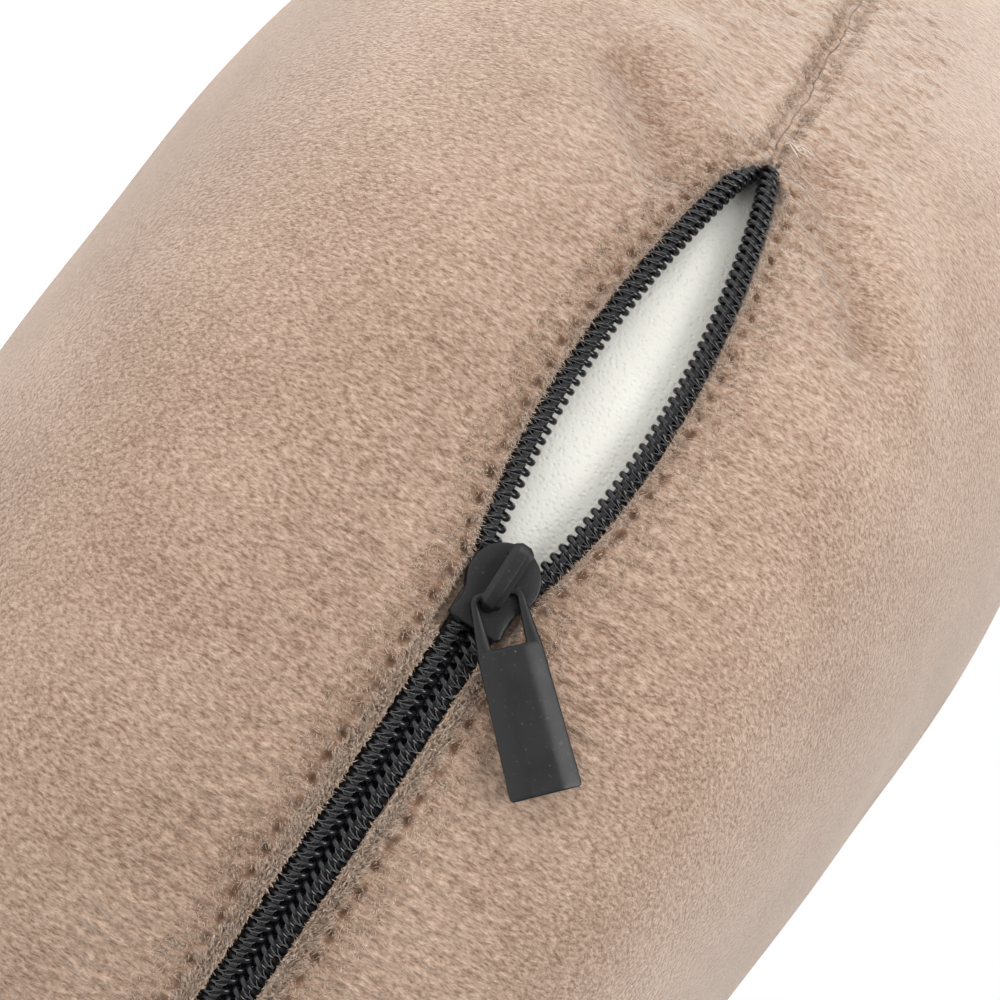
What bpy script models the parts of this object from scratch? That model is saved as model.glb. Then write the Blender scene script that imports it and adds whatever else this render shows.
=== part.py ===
"""A lumbar support cushion with a foam core, a two-panel velour cover and a coil zip in the seam.

Metres, +Z up. The cushion lies on its flat back, which is the plane z = 0, and its centre is
over the origin. X runs along the width, +Y is the top edge as it is used, and +Z faces the
sitter's back. The zip follows the round corner at -X -Y, halfway between front and back.
"""
import math

import bmesh
import bpy
from mathutils import Matrix, Vector

GAP = 0.0003  # running clearance between pieces that touch

# Cushion outline, seen from the front: a rectangle of these two straights grown by the radius.
LONG_STRAIGHT = 0.140
SIDE_STRAIGHT = 0.030
CORNER_RADIUS = 0.150

# Cushion thickness. Each rim has a straight band next to the seam, then rounds over.
SEAM_HEIGHT = 0.072
RIM_BAND = 0.018
BACK_ROUND = 0.064
FRONT_ROUND = 0.090
ROUND_POWER = 2.1
FRONT_RISE = 0.060
HUMP_RISE = 0.012
HUMP_REACH = 0.080
WAIST_DIP = 0.006
WAIST_REACH = 0.090
COVER_WALL = 0.0023

# Zip, in degrees round the corner: 0 where the bottom edge ends, 90 where the side begins.
ZIP_START = 3.0
ZIP_END = 73.5
SLIDER_AT = 45.0
LENS_END = 71.8  # where the open half chains meet again, a little before the zip's end
TAPE_WIDTH = 0.0095
TAPE_THICKNESS = 0.0006
COIL_WIDTH = 0.0023
COIL_HEIGHT = 0.0022
COIL_WALL = 0.00045
COIL_SPLIT = 0.00025  # each half chain stays this far from the seam line when closed
LENS_HALF_GAP = 0.0058  # how far each half chain stands off at the widest point of the opening
LIP_MARGIN = 0.00225  # cloth edge to coil, which leaves room for the slider

# Slider. X runs towards the closed chain, Y towards the cushion's front, Z out of the rim.
DISC_RADIUS = 0.00442
TAIL_LENGTH = 0.0068
TAIL_HALF_WIDTH = 0.0035
TOP_PLATE = 0.0010
BOTTOM_PLATE = 0.0009
PLATE_BEVEL = 0.00025
POST_HALF_WIDTH = 0.0009
POST_FROM = -0.0041
PIN_X = 0.0007
PIN_WIDTH = 0.0005
PIN_HOLE = 0.0011
CROWN_LENGTH = 0.0087
CROWN_WIDTH = 0.0026
CROWN_FOOT_WIDTH = 0.0014
CROWN_FOOT = 0.0005
CROWN_THICKNESS = 0.0008
LOCK_THICKNESS = 0.0002
LOCK_TRAVEL = 0.0004

# Pull tab, from its pivot bar outwards.
PULL_PIVOT_X = 0.0022
PULL_YAW = 47.0
PULL_BAR = 0.0009
EYE_HALF_WINDOW = 0.0025
EYE_LENGTH = 0.0069
LEG_WIDTH = 0.0008
TAB_LENGTH = 0.0174
TAB_ROOT_WIDTH = 0.0077
TAB_END_WIDTH = 0.0086
TAB_THICKNESS = 0.0017
TAB_BEVEL = 0.00045

# Threads
THREAD_RADIUS = 0.00016
STITCH_SETBACK = 0.0018
TACK_LENGTH = 0.0020
TACK_HALF_WIDTH = 0.0060
TACK_THICKNESS = 0.0006

# Levels measured outwards from the cover's outer surface, on the zip's arc.
TAPE_TOP = -(COVER_WALL + GAP)
TAPE_BOTTOM = TAPE_TOP - TAPE_THICKNESS
COIL_BOTTOM = TAPE_TOP + GAP
COIL_TOP = COIL_BOTTOM + COIL_HEIGHT
PLATE_UNDER = COIL_TOP + GAP
PLATE_TOP = PLATE_UNDER + TOP_PLATE
FLANGE_BOTTOM = TAPE_TOP + 2 * GAP
BASE_TOP = TAPE_BOTTOM - GAP
BASE_UNDER = BASE_TOP - BOTTOM_PLATE
FOAM_RELIEF = BASE_UNDER - GAP
PIVOT_LEVEL = PLATE_TOP + GAP + PULL_BAR / 2
LOCK_UNDER = PIVOT_LEVEL + PULL_BAR / 2 + GAP
CROWN_UNDER = LOCK_UNDER + LOCK_THICKNESS + LOCK_TRAVEL + GAP
CROWN_TOP = CROWN_UNDER + CROWN_THICKNESS

HALF_LONG = LONG_STRAIGHT / 2
HALF_SIDE = SIDE_STRAIGHT / 2


def clear_scene():
    for obj in list(bpy.data.objects):
        bpy.data.objects.remove(obj, do_unlink=True)


def material(name, color, roughness, metallic=0.0):
    mat = bpy.data.materials.new(name)
    mat.use_nodes = True
    shader = mat.node_tree.nodes["Principled BSDF"]
    shader.inputs["Base Color"].default_value = (*color, 1.0)
    shader.inputs["Roughness"].default_value = roughness
    shader.inputs["Metallic"].default_value = metallic
    mat.diffuse_color = (*color, 1.0)
    return mat


def make_object(name, mesh, mat, smooth=True):
    if smooth:
        mesh.shade_smooth()
        mesh.set_sharp_from_angle(angle=math.radians(35))
    mesh.materials.append(mat)
    obj = bpy.data.objects.new(name, mesh)
    bpy.context.scene.collection.objects.link(obj)
    return obj


def finish_mesh(name, bm):
    """Turns a closed bmesh outwards and makes it a mesh."""
    bmesh.ops.recalc_face_normals(bm, faces=bm.faces)
    mesh = bpy.data.meshes.new(name)
    bm.to_mesh(mesh)
    bm.free()
    return mesh


def outward(degrees):
    """The rim's outward normal: -Y at 0 degrees, -X at 90, +Y at 180."""
    angle = math.radians(degrees)
    return Vector((-math.sin(angle), -math.cos(angle), 0.0))


class Station:
    """One place on the outline: the centre that the rim is round there, and its outward normal."""

    def __init__(self, x, y, degrees):
        self.centre = Vector((x, y, 0.0))
        self.degrees = degrees
        self.normal = outward(degrees)

    def at(self, radius, z):
        return self.centre + radius * self.normal + Vector((0.0, 0.0, z))


def outline_stations():
    """Stations clockwise from the start of the zip's corner, closer together along the zip."""
    corners = (
        (-HALF_LONG, -HALF_SIDE, 0.0, 20),
        (-HALF_LONG, HALF_SIDE, 90.0, 6),
        (HALF_LONG, HALF_SIDE, 180.0, 6),
        (HALF_LONG, -HALF_SIDE, 270.0, 6),
    )
    stations = []
    for index, (x, y, start, steps) in enumerate(corners):
        for step in range(steps + 1):
            stations.append(Station(x, y, start + 90.0 * step / steps))
        next_x, next_y = corners[(index + 1) % 4][:2]
        inner = 2 if index % 2 else 1
        for step in range(1, inner + 1):
            share = step / (inner + 1)
            stations.append(
                Station(x + (next_x - x) * share, y + (next_y - y) * share, start + 90.0)
            )
    return stations


STATIONS = outline_stations()


def smoothstep(value):
    value = min(max(value, 0.0), 1.0)
    return value * value * (3.0 - 2.0 * value)


def chain_offset(degrees):
    """How far a half chain's inner edge stands from the seam line, at an angle round the corner."""
    along = math.radians(degrees - SLIDER_AT) * CORNER_RADIUS
    mouth = POST_HALF_WIDTH + 1.5 * GAP
    if along <= 0.0:
        tail = smoothstep(1.0 + along / (TAIL_LENGTH / 2))
        return COIL_SPLIT + (mouth - COIL_SPLIT) * tail
    end = math.radians(LENS_END - SLIDER_AT) * CORNER_RADIUS
    share = min(along / end, 1.0)
    lens = math.sin(math.pi * share**0.85) ** 0.8 if share < 1.0 else 0.0
    ends = mouth + (COIL_SPLIT - mouth) * smoothstep(share)
    return ends + (LENS_HALF_GAP - mouth) * lens


def cloth_edge(degrees):
    """How far a cover panel's edge stands from the seam line: wide along the zip, else the seam."""
    if ZIP_START <= degrees <= ZIP_END:
        return chain_offset(degrees) + COIL_WIDTH + LIP_MARGIN
    return GAP / 2


def front_rise(x, y):
    """Height of the front over the seam: a ridge along the width, dipped in the middle."""
    hump = HUMP_RISE * math.exp(-((y / HUMP_REACH) ** 2))
    waist = WAIST_DIP * math.exp(-((x / WAIST_REACH) ** 2))
    return FRONT_RISE + hump - waist


def section(station, front):
    """Outer profile from the panel's edge to near the middle, as (radius, z)."""
    side = 1.0 if front else -1.0
    depth = FRONT_ROUND if front else BACK_ROUND
    edge = cloth_edge(station.degrees)
    points = [(CORNER_RADIUS, SEAM_HEIGHT + side * edge)]
    steps = 5
    for step in range(steps + 1):
        angle = math.pi / 2 * step / steps
        radius = CORNER_RADIUS - depth * (1.0 - math.cos(angle) ** (2.0 / ROUND_POWER))
        place = station.at(radius, 0.0)
        rise = front_rise(place.x, place.y) if front else SEAM_HEIGHT
        rise = RIM_BAND + (rise - RIM_BAND) * math.sin(angle) ** (2.0 / ROUND_POWER)
        points.append((radius, SEAM_HEIGHT + side * rise))
    if front:
        inner = CORNER_RADIUS - depth
        for share in (0.62, 0.28, 0.06):
            place = station.at(inner * share, 0.0)
            points.append((inner * share, SEAM_HEIGHT + front_rise(place.x, place.y)))
    else:
        points.append((0.06 * CORNER_RADIUS, 0.0))
    return points


def inset(points, distance, front):
    """The profile moved inwards by a distance, square to each stretch and mitred between them."""
    side = 1.0 if front else -1.0
    normals = []
    for (r0, z0), (r1, z1) in zip(points, points[1:]):
        length = math.hypot(r1 - r0, z1 - z0)
        normals.append(((z1 - z0) / length * side, (r0 - r1) / length * side))
    result = []
    for index, (radius, z) in enumerate(points):
        first = normals[max(index - 1, 0)]
        second = normals[min(index, len(normals) - 1)]
        if index == len(points) - 1:
            first = second = (0.0, side)
        bend = 1.0 + first[0] * second[0] + first[1] * second[1]
        shift_r = (first[0] + second[0]) / bend * distance
        shift_z = (first[1] + second[1]) / bend * distance
        result.append((radius - shift_r, z - shift_z))
    return result


def add_rings(bm, rings):
    """Adds rings of points and the quads between each ring and the next. Returns their vertices."""
    made = [[bm.verts.new(point) for point in ring] for ring in rings]
    for lower, upper in zip(made, made[1:]):
        for index in range(len(lower)):
            after = (index + 1) % len(lower)
            bm.faces.new((lower[index], lower[after], upper[after], upper[index]))
    return made


def rings_of(sections):
    """Turns one profile per station into one ring per profile point."""
    count = len(sections[0])
    return [
        [station.at(*profile[index]) for station, profile in zip(STATIONS, sections)]
        for index in range(count)
    ]


def cover_panel(name, front, mat):
    outer = [section(station, front) for station in STATIONS]
    inner = [inset(profile, COVER_WALL, front) for profile in outer]
    bm = bmesh.new()
    rings = rings_of([profile[::-1] for profile in outer]) + rings_of(inner)
    made = add_rings(bm, rings)
    bm.faces.new(made[0])
    bm.faces.new(made[-1])
    bmesh.ops.triangulate(bm, faces=bm.faces)
    return make_object(name, finish_mesh(name, bm), mat)


def foam_core(mat):
    """The core fills the cover, with a flat relief behind the seam for tapes and slider."""
    distance = COVER_WALL + GAP
    relief = CORNER_RADIUS + FOAM_RELIEF
    half = RIM_BAND - COVER_WALL + GAP
    sections = []
    for station in STATIONS:
        back = inset(section(station, False), distance, False)[1:]
        front = inset(section(station, True), distance, True)[1:]
        band = [(relief, SEAM_HEIGHT - half), (relief, SEAM_HEIGHT + half)]
        sections.append(back[::-1] + band + front)
    bm = bmesh.new()
    made = add_rings(bm, rings_of(sections))
    bm.faces.new(made[0])
    bm.faces.new(made[-1])
    bmesh.ops.triangulate(bm, faces=bm.faces)
    return make_object("foam_core", finish_mesh("foam_core", bm), mat)


def zip_angles():
    """Angles along the zip: even steps, and closer ones through the slider."""
    half = math.degrees((TAIL_LENGTH + DISC_RADIUS) / 2 / CORNER_RADIUS)
    fine = [SLIDER_AT + half * (step / 3 - 1.0) for step in range(7)]
    coarse = [ZIP_START + (ZIP_END - ZIP_START) * step / 24 for step in range(25)]
    spaced = [angle for angle in coarse if abs(angle - SLIDER_AT) > half + 1.0]
    return sorted(spaced + fine)


def arc_rings(angles, ring_at):
    """One ring of points per angle. ring_at(angle) gives the section as (level, offset)."""
    corner = STATIONS[0].centre
    rings = []
    for angle in angles:
        station = Station(corner.x, corner.y, angle)
        rings.append(
            [
                station.at(CORNER_RADIUS + level, SEAM_HEIGHT + offset)
                for level, offset in ring_at(angle)
            ]
        )
    return rings


def swept(name, angles, ring_at, mat, smooth=True):
    """A solid with a flat face at each end, carried along the zip's arc."""
    bm = bmesh.new()
    made = add_rings(bm, arc_rings(angles, ring_at))
    bm.faces.new(made[0])
    bm.faces.new(made[-1])
    return make_object(name, finish_mesh(name, bm), mat, smooth)


def ellipse(level, offset, half_level, half_offset, count):
    """An oval section, as (level, offset) points."""
    return [
        (
            level + half_level * math.cos(2 * math.pi * step / count),
            offset + half_offset * math.sin(2 * math.pi * step / count),
        )
        for step in range(count)
    ]


def coil_centre(angle, side):
    return side * (chain_offset(angle) + COIL_WIDTH / 2)


def zip_tape(name, side, mat):
    def ring_at(angle):
        near = side * chain_offset(angle)
        far = near + side * TAPE_WIDTH
        return [(TAPE_TOP, near), (TAPE_TOP, far), (TAPE_BOTTOM, far), (TAPE_BOTTOM, near)]

    return swept(name, zip_angles(), ring_at, mat, smooth=False)


def zip_coil(name, side, mat):
    """The coil's outer shape, as a tube whose bore holds the filler cord."""
    level = (COIL_TOP + COIL_BOTTOM) / 2

    def outer_at(angle):
        return ellipse(level, coil_centre(angle, side), COIL_HEIGHT / 2, COIL_WIDTH / 2, 8)

    def inner_at(angle):
        half_level = COIL_HEIGHT / 2 - COIL_WALL
        half_offset = COIL_WIDTH / 2 - COIL_WALL
        return ellipse(level, coil_centre(angle, side), half_level, half_offset, 8)

    angles = zip_angles()
    bm = bmesh.new()
    outer = add_rings(bm, arc_rings(angles, outer_at))
    inner = add_rings(bm, arc_rings(angles, inner_at))
    for outer_ring, inner_ring in ((outer[0], inner[0]), (outer[-1], inner[-1])):
        for index, corner in enumerate(outer_ring):
            after = (index + 1) % len(outer_ring)
            bm.faces.new((corner, outer_ring[after], inner_ring[after], inner_ring[index]))
    return make_object(name, finish_mesh(name, bm), mat)


def coil_cord(name, side, mat):
    """The filler cord that runs inside the coil."""
    level = (COIL_TOP + COIL_BOTTOM) / 2
    radius = COIL_HEIGHT / 2 - COIL_WALL - GAP

    def ring_at(angle):
        return ellipse(level, coil_centre(angle, side), radius, radius, 6)

    return swept(name, zip_angles(), ring_at, mat)


def topstitch(name, side, mat):
    """The row of stitching that holds the folded cloth to the tape, drawn as one thread."""
    level = GAP + THREAD_RADIUS

    def ring_at(angle):
        offset = side * (cloth_edge(angle) + STITCH_SETBACK)
        return ellipse(level, offset, THREAD_RADIUS, THREAD_RADIUS, 4)

    return swept(name, zip_angles(), ring_at, mat)


def seam_thread(mat):
    """The thread of the perimeter seam, inside the cover from one end of the zip to the other."""
    radius = CORNER_RADIUS - COVER_WALL - GAP - THREAD_RADIUS
    before = [station for station in STATIONS if station.degrees < ZIP_START - 1.0]
    after = [station for station in STATIONS if station.degrees > ZIP_END + 1.0]
    route = [station.at(radius, SEAM_HEIGHT) for station in after + before]
    curve = bpy.data.curves.new("perimeter_seam_thread", "CURVE")
    curve.dimensions = "3D"
    curve.bevel_depth = THREAD_RADIUS
    curve.bevel_resolution = 0
    curve.use_fill_caps = True
    spline = curve.splines.new("POLY")
    spline.points.add(len(route) - 1)
    for point, place in zip(spline.points, route):
        point.co = (*place, 1.0)
    curve.materials.append(mat)
    obj = bpy.data.objects.new("perimeter_seam_thread", curve)
    bpy.context.scene.collection.objects.link(obj)
    return obj


def bar_tack(name, degrees, mat):
    """The dense block of stitches across the end of the zip, over both panels."""
    half = math.degrees(TACK_LENGTH / 2 / CORNER_RADIUS)

    def ring_at(_):
        low, high = GAP, GAP + TACK_THICKNESS
        wide = TACK_HALF_WIDTH
        return [(low, -wide), (low, wide), (high, wide), (high, -wide)]

    return swept(name, (degrees - half, degrees + half), ring_at, mat, smooth=False)


def prism(name, outline, low, high):
    """A mesh of an outline in X and Y carried from one height to another."""
    bm = bmesh.new()
    bottom = [bm.verts.new((x, y, low)) for x, y in outline]
    face = bm.faces.new(bottom)
    made = bmesh.ops.extrude_face_region(bm, geom=[face])["geom"]
    moved = [item for item in made if isinstance(item, bmesh.types.BMVert)]
    bmesh.ops.translate(bm, verts=moved, vec=(0.0, 0.0, high - low))
    return finish_mesh(name, bm)


def side_prism(name, outline, half_width):
    """A mesh of an outline in X and Z carried across Y."""
    mesh = prism(name, outline, -half_width, half_width)
    mesh.transform(Matrix.Rotation(math.pi / 2, 4, "X"))
    return mesh


def bevel_mesh(mesh, width, sharper_than=40.0, segments=1):
    bm = bmesh.new()
    bm.from_mesh(mesh)
    limit = math.radians(sharper_than)
    edges = [edge for edge in bm.edges if edge.calc_face_angle(0.0) > limit]
    bmesh.ops.bevel(bm, geom=edges, offset=width, segments=segments, affect="EDGES", profile=0.5)
    bm.to_mesh(mesh)
    bm.free()


def place(obj, parent, location=(0.0, 0.0, 0.0)):
    obj.parent = parent
    obj.location = location


def combine(target, cutter_mesh, operation, parent, location):
    """Adds an exact Boolean with a hidden helper that sits in the same place as its target."""
    helper = bpy.data.objects.new(f"{cutter_mesh.name}_helper", cutter_mesh)
    bpy.context.scene.collection.objects.link(helper)
    helper.hide_render = True
    helper.display_type = "WIRE"
    place(helper, parent, location)
    modifier = target.modifiers.new(cutter_mesh.name, "BOOLEAN")
    modifier.operation = operation
    modifier.solver = "EXACT"
    modifier.object = helper


def slider_outline():
    """The slider seen from above: a disc round the mouth that narrows to a square tail."""
    radius = DISC_RADIUS
    half = TAIL_HALF_WIDTH
    join = math.asin(half / radius)
    steps = 20
    disc = []
    for step in range(steps + 1):
        angle = join + 2 * (math.pi - join) * step / steps
        disc.append((radius * math.cos(angle), radius * math.sin(angle)))
    chamfer = half * 0.25
    low = [(TAIL_LENGTH - chamfer, -half), (TAIL_LENGTH, chamfer - half)]
    high = [(x, -y) for x, y in reversed(low)]
    return disc + low + high


def slider_body(parent, location, mat):
    mesh = prism("slider_body", slider_outline(), FLANGE_BOTTOM, PLATE_TOP)
    bm = bmesh.new()
    bm.from_mesh(mesh)
    rim = [edge for edge in bm.edges if all(vert.co.z > PLATE_TOP - 1e-6 for vert in edge.verts)]
    bmesh.ops.bevel(bm, geom=rim, offset=PLATE_BEVEL, segments=1, affect="EDGES", profile=0.5)
    bm.to_mesh(mesh)
    bm.free()
    obj = make_object("slider_body", mesh, mat)
    place(obj, parent, location)
    tail_half = COIL_SPLIT + COIL_WIDTH + GAP
    mouth_half = POST_HALF_WIDTH + 1.5 * GAP + COIL_WIDTH + GAP
    reach = 2 * DISC_RADIUS
    channel = [
        (-reach, -reach),
        (-0.0022, -mouth_half - 0.0009),
        (0.0, -mouth_half),
        (TAIL_LENGTH / 2, -tail_half),
        (reach, -tail_half),
        (reach, tail_half),
        (TAIL_LENGTH / 2, tail_half),
        (0.0, mouth_half),
        (-0.0022, mouth_half + 0.0009),
        (-reach, reach),
    ]
    cut = prism("slider_channel", channel, FLANGE_BOTTOM - GAP, PLATE_UNDER)
    combine(obj, cut, "DIFFERENCE", parent, location)
    half_hole = PIN_HOLE / 2
    hole = [
        (PIN_X - half_hole, -half_hole),
        (PIN_X + half_hole, -half_hole),
        (PIN_X + half_hole, half_hole),
        (PIN_X - half_hole, half_hole),
    ]
    pin_hole = prism("slider_pin_hole", hole, PLATE_UNDER - GAP, PLATE_TOP + GAP)
    combine(obj, pin_hole, "DIFFERENCE", parent, location)
    base = prism("slider_base", slider_outline(), BASE_UNDER, BASE_TOP)
    combine(obj, base, "UNION", parent, location)
    post = [
        (POST_FROM, -POST_HALF_WIDTH * 0.6),
        (POST_FROM / 2, -POST_HALF_WIDTH),
        (PIN_X - half_hole - GAP, -POST_HALF_WIDTH * 0.3),
        (PIN_X - half_hole - GAP, POST_HALF_WIDTH * 0.3),
        (POST_FROM / 2, POST_HALF_WIDTH),
        (POST_FROM, POST_HALF_WIDTH * 0.6),
    ]
    middle = prism("slider_post", post, BASE_UNDER + BOTTOM_PLATE / 2, PLATE_UNDER + TOP_PLATE / 2)
    combine(obj, middle, "UNION", parent, location)
    return obj


def slider_crown(parent, location, mat):
    """A bridge along the slider, with a wide foot at the mouth and a narrow one at the tail."""
    half = CROWN_LENGTH / 2
    foot = PLATE_TOP + GAP / 2
    ramp = CROWN_THICKNESS
    outline = [
        (-half, foot),
        (-half, CROWN_TOP - ramp),
        (-half + ramp, CROWN_TOP),
        (half - ramp / 2, CROWN_TOP),
        (half, CROWN_TOP - ramp / 2),
        (half, foot),
        (half - CROWN_FOOT, foot),
        (half - CROWN_FOOT, CROWN_UNDER),
        (-half + ramp, CROWN_UNDER),
        (-half + ramp, foot),
    ]
    mesh = side_prism("slider_crown", outline, CROWN_WIDTH / 2)
    bm = bmesh.new()
    bm.from_mesh(mesh)
    rim = [edge for edge in bm.edges if all(vert.co.z > CROWN_TOP - 1e-6 for vert in edge.verts)]
    bmesh.ops.bevel(bm, geom=rim, offset=CROWN_THICKNESS * 0.4, segments=1, affect="EDGES")
    bm.to_mesh(mesh)
    bm.free()
    obj = make_object("slider_crown", mesh, mat)
    place(obj, parent, location)
    for side in (-1, 1):
        near, far = side * CROWN_FOOT_WIDTH / 2, side * CROWN_WIDTH
        cut = [
            (half - CROWN_THICKNESS, min(near, far)),
            (2 * half, min(near, far)),
            (2 * half, max(near, far)),
            (half - CROWN_THICKNESS, max(near, far)),
        ]
        mesh = prism(f"crown_foot_cut_{side}", cut, PLATE_TOP - GAP, CROWN_UNDER)
        combine(obj, mesh, "DIFFERENCE", parent, location)
    return obj


def slider_lock(parent, location, mat):
    """A spring strip under the crown whose bent pin drops through the plate into the chain."""
    half = CROWN_LENGTH / 2
    top = LOCK_UNDER + LOCK_THICKNESS
    pin_low, pin_high = PIN_X - PIN_WIDTH / 2, PIN_X + PIN_WIDTH / 2
    outline = [
        (-half + CROWN_THICKNESS + GAP, top),
        (-half + CROWN_THICKNESS + GAP, LOCK_UNDER),
        (pin_low, LOCK_UNDER),
        (pin_low, COIL_TOP + GAP / 2),
        (pin_high, COIL_TOP + GAP / 2),
        (pin_high, LOCK_UNDER),
        (half - CROWN_FOOT - 3 * GAP, LOCK_UNDER),
        (half - CROWN_FOOT - 3 * GAP, top),
    ]
    mesh = side_prism("slider_lock_spring", outline, PIN_WIDTH / 2)
    obj = make_object("slider_lock_spring", mesh, mat, smooth=False)
    place(obj, parent, location)
    return obj


def pull_tab(pivot, mat):
    """A flat tab with a trapezoid eye whose end bar runs under the crown."""
    inner = EYE_HALF_WINDOW
    root = TAB_ROOT_WIDTH / 2
    end = TAB_END_WIDTH / 2
    start = EYE_LENGTH - PULL_BAR / 2
    finish = start + TAB_LENGTH
    corner = 0.0006
    eye = [
        (-PULL_BAR / 2, -inner - LEG_WIDTH),
        (start + 2 * TAB_BEVEL, -root),
        (start + 2 * TAB_BEVEL, root),
        (-PULL_BAR / 2, inner + LEG_WIDTH),
    ]
    obj = make_object("pull_tab", prism("pull_tab", eye, -PULL_BAR / 2, PULL_BAR / 2), mat)
    bevel_mesh(obj.data, PULL_BAR * 0.2)
    obj.parent = pivot
    window = [
        (PULL_BAR / 2, -inner),
        (start - 0.0002, -root + LEG_WIDTH),
        (start, -root + LEG_WIDTH + 0.0003),
        (start, root - LEG_WIDTH - 0.0003),
        (start - 0.0002, root - LEG_WIDTH),
        (PULL_BAR / 2, inner),
    ]
    cut = prism("pull_window", window, -TAB_THICKNESS, TAB_THICKNESS)
    tab = [
        (start, -root),
        (finish - corner, -end),
        (finish, -end + corner),
        (finish, end - corner),
        (finish - corner, end),
        (start, root),
    ]
    plate = prism("pull_plate", tab, -TAB_THICKNESS / 2, TAB_THICKNESS / 2)
    bevel_mesh(plate, TAB_BEVEL, segments=2)
    combine(obj, plate, "UNION", pivot, (0.0, 0.0, 0.0))
    combine(obj, cut, "DIFFERENCE", pivot, (0.0, 0.0, 0.0))
    return obj


def slider_frames():
    """Empties on the two joint axes: the corner's centre, and the pull tab's pivot bar."""
    track = bpy.data.objects.new("slider_track_axis", None)
    bpy.context.scene.collection.objects.link(track)
    radial = outward(SLIDER_AT)
    up = Vector((0.0, 0.0, 1.0))
    along = up.cross(radial)
    turn = Matrix((along, up, radial)).transposed().to_4x4()
    centre = STATIONS[0].centre + Vector((0.0, 0.0, SEAM_HEIGHT))
    track.matrix_world = Matrix.Translation(centre) @ turn
    pivot = bpy.data.objects.new("pull_pivot_axis", None)
    bpy.context.scene.collection.objects.link(pivot)
    place(pivot, track, (PULL_PIVOT_X, 0.0, CORNER_RADIUS + PIVOT_LEVEL))
    pivot.rotation_euler = (0.0, 0.0, math.radians(PULL_YAW))
    return track, pivot


def build_cover_and_core():
    foam = material("foam", (0.84, 0.82, 0.71), 0.95)
    velour = material("velour", (0.50, 0.34, 0.25), 0.9)
    velour_back = material("velour_back", (0.47, 0.32, 0.24), 0.9)
    foam_core(foam)
    cover_panel("cover_front_panel", True, velour)
    cover_panel("cover_back_panel", False, velour_back)
    seam_thread(material("seam_thread", (0.20, 0.13, 0.09), 0.8))


def build_zip():
    tape = material("zip_tape", (0.015, 0.015, 0.016), 0.85)
    nylon = material("nylon_coil", (0.02, 0.02, 0.022), 0.35)
    cord = material("coil_cord", (0.03, 0.03, 0.03), 0.9)
    thread = material("topstitch_thread", (0.20, 0.13, 0.09), 0.8)
    tack = material("bar_tack_thread", (0.62, 0.53, 0.45), 0.8)
    for name, side in (("front", 1.0), ("back", -1.0)):
        zip_tape(f"zip_tape_{name}", side, tape)
        zip_coil(f"zip_coil_{name}", side, nylon)
        coil_cord(f"coil_cord_{name}", side, cord)
        topstitch(f"topstitch_{name}", side, thread)
    past = math.degrees((TACK_LENGTH / 2 + GAP) / CORNER_RADIUS)
    bar_tack("bar_tack_open_end", ZIP_END + past, tack)
    bar_tack("bar_tack_closed_end", ZIP_START - past, tack)


def build_slider():
    track, pivot = slider_frames()
    on_rim = (0.0, 0.0, CORNER_RADIUS)
    paint = material("black_paint", (0.02, 0.02, 0.021), 0.45, 0.3)
    slider_body(track, on_rim, paint)
    slider_crown(track, on_rim, material("crown_paint", (0.022, 0.022, 0.024), 0.45, 0.3))
    slider_lock(track, on_rim, material("spring_steel", (0.55, 0.55, 0.56), 0.3, 1.0))
    pull_tab(pivot, material("pull_paint", (0.024, 0.024, 0.026), 0.42, 0.3))


clear_scene()
build_cover_and_core()
build_zip()
build_slider()
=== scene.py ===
# %% [markdown]
# # Lumbar support cushion: velour cover, foam core and coil zip
# The real object is a moulded foam core inside a stretch velour cover. The cover is two panels
# joined by one seam round the rim, and a coil zip sits in that seam at one corner. This lesson
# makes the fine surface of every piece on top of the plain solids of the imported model. Each new
# piece is a surface worked out as whole numpy arrays, in metres, in the frame of the solids.

# %% Load the solids that the fine pieces stand for
import math

import bpy
import numpy as np
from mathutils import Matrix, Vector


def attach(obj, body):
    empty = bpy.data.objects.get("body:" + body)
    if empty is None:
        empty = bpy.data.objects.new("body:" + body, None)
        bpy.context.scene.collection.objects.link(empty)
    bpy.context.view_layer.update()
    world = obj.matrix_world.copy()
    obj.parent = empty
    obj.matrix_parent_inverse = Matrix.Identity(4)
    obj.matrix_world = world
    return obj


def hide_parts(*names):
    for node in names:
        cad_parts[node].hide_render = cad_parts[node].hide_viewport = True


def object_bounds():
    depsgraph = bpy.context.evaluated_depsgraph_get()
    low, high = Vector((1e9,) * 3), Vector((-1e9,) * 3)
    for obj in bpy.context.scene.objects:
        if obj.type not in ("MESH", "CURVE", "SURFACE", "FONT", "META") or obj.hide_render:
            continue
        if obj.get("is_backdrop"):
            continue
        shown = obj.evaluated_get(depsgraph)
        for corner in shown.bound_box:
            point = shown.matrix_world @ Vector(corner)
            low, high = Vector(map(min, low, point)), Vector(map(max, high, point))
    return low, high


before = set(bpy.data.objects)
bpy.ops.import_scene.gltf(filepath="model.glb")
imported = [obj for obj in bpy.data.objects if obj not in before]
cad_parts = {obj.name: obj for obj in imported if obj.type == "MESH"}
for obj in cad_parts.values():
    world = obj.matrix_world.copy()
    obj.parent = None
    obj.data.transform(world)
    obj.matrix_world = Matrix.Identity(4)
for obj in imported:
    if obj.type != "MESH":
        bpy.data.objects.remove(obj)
cad_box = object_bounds()
print("nodes:", len(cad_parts))

# %% [markdown]
# ## Sizes
# The outline is a rectangle grown by the corner radius. The zip follows the round corner at
# -X -Y. Angles are counted round that corner from the bottom edge, levels are counted outwards
# from the cover's surface, and offsets are counted from the seam plane towards the front.

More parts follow.
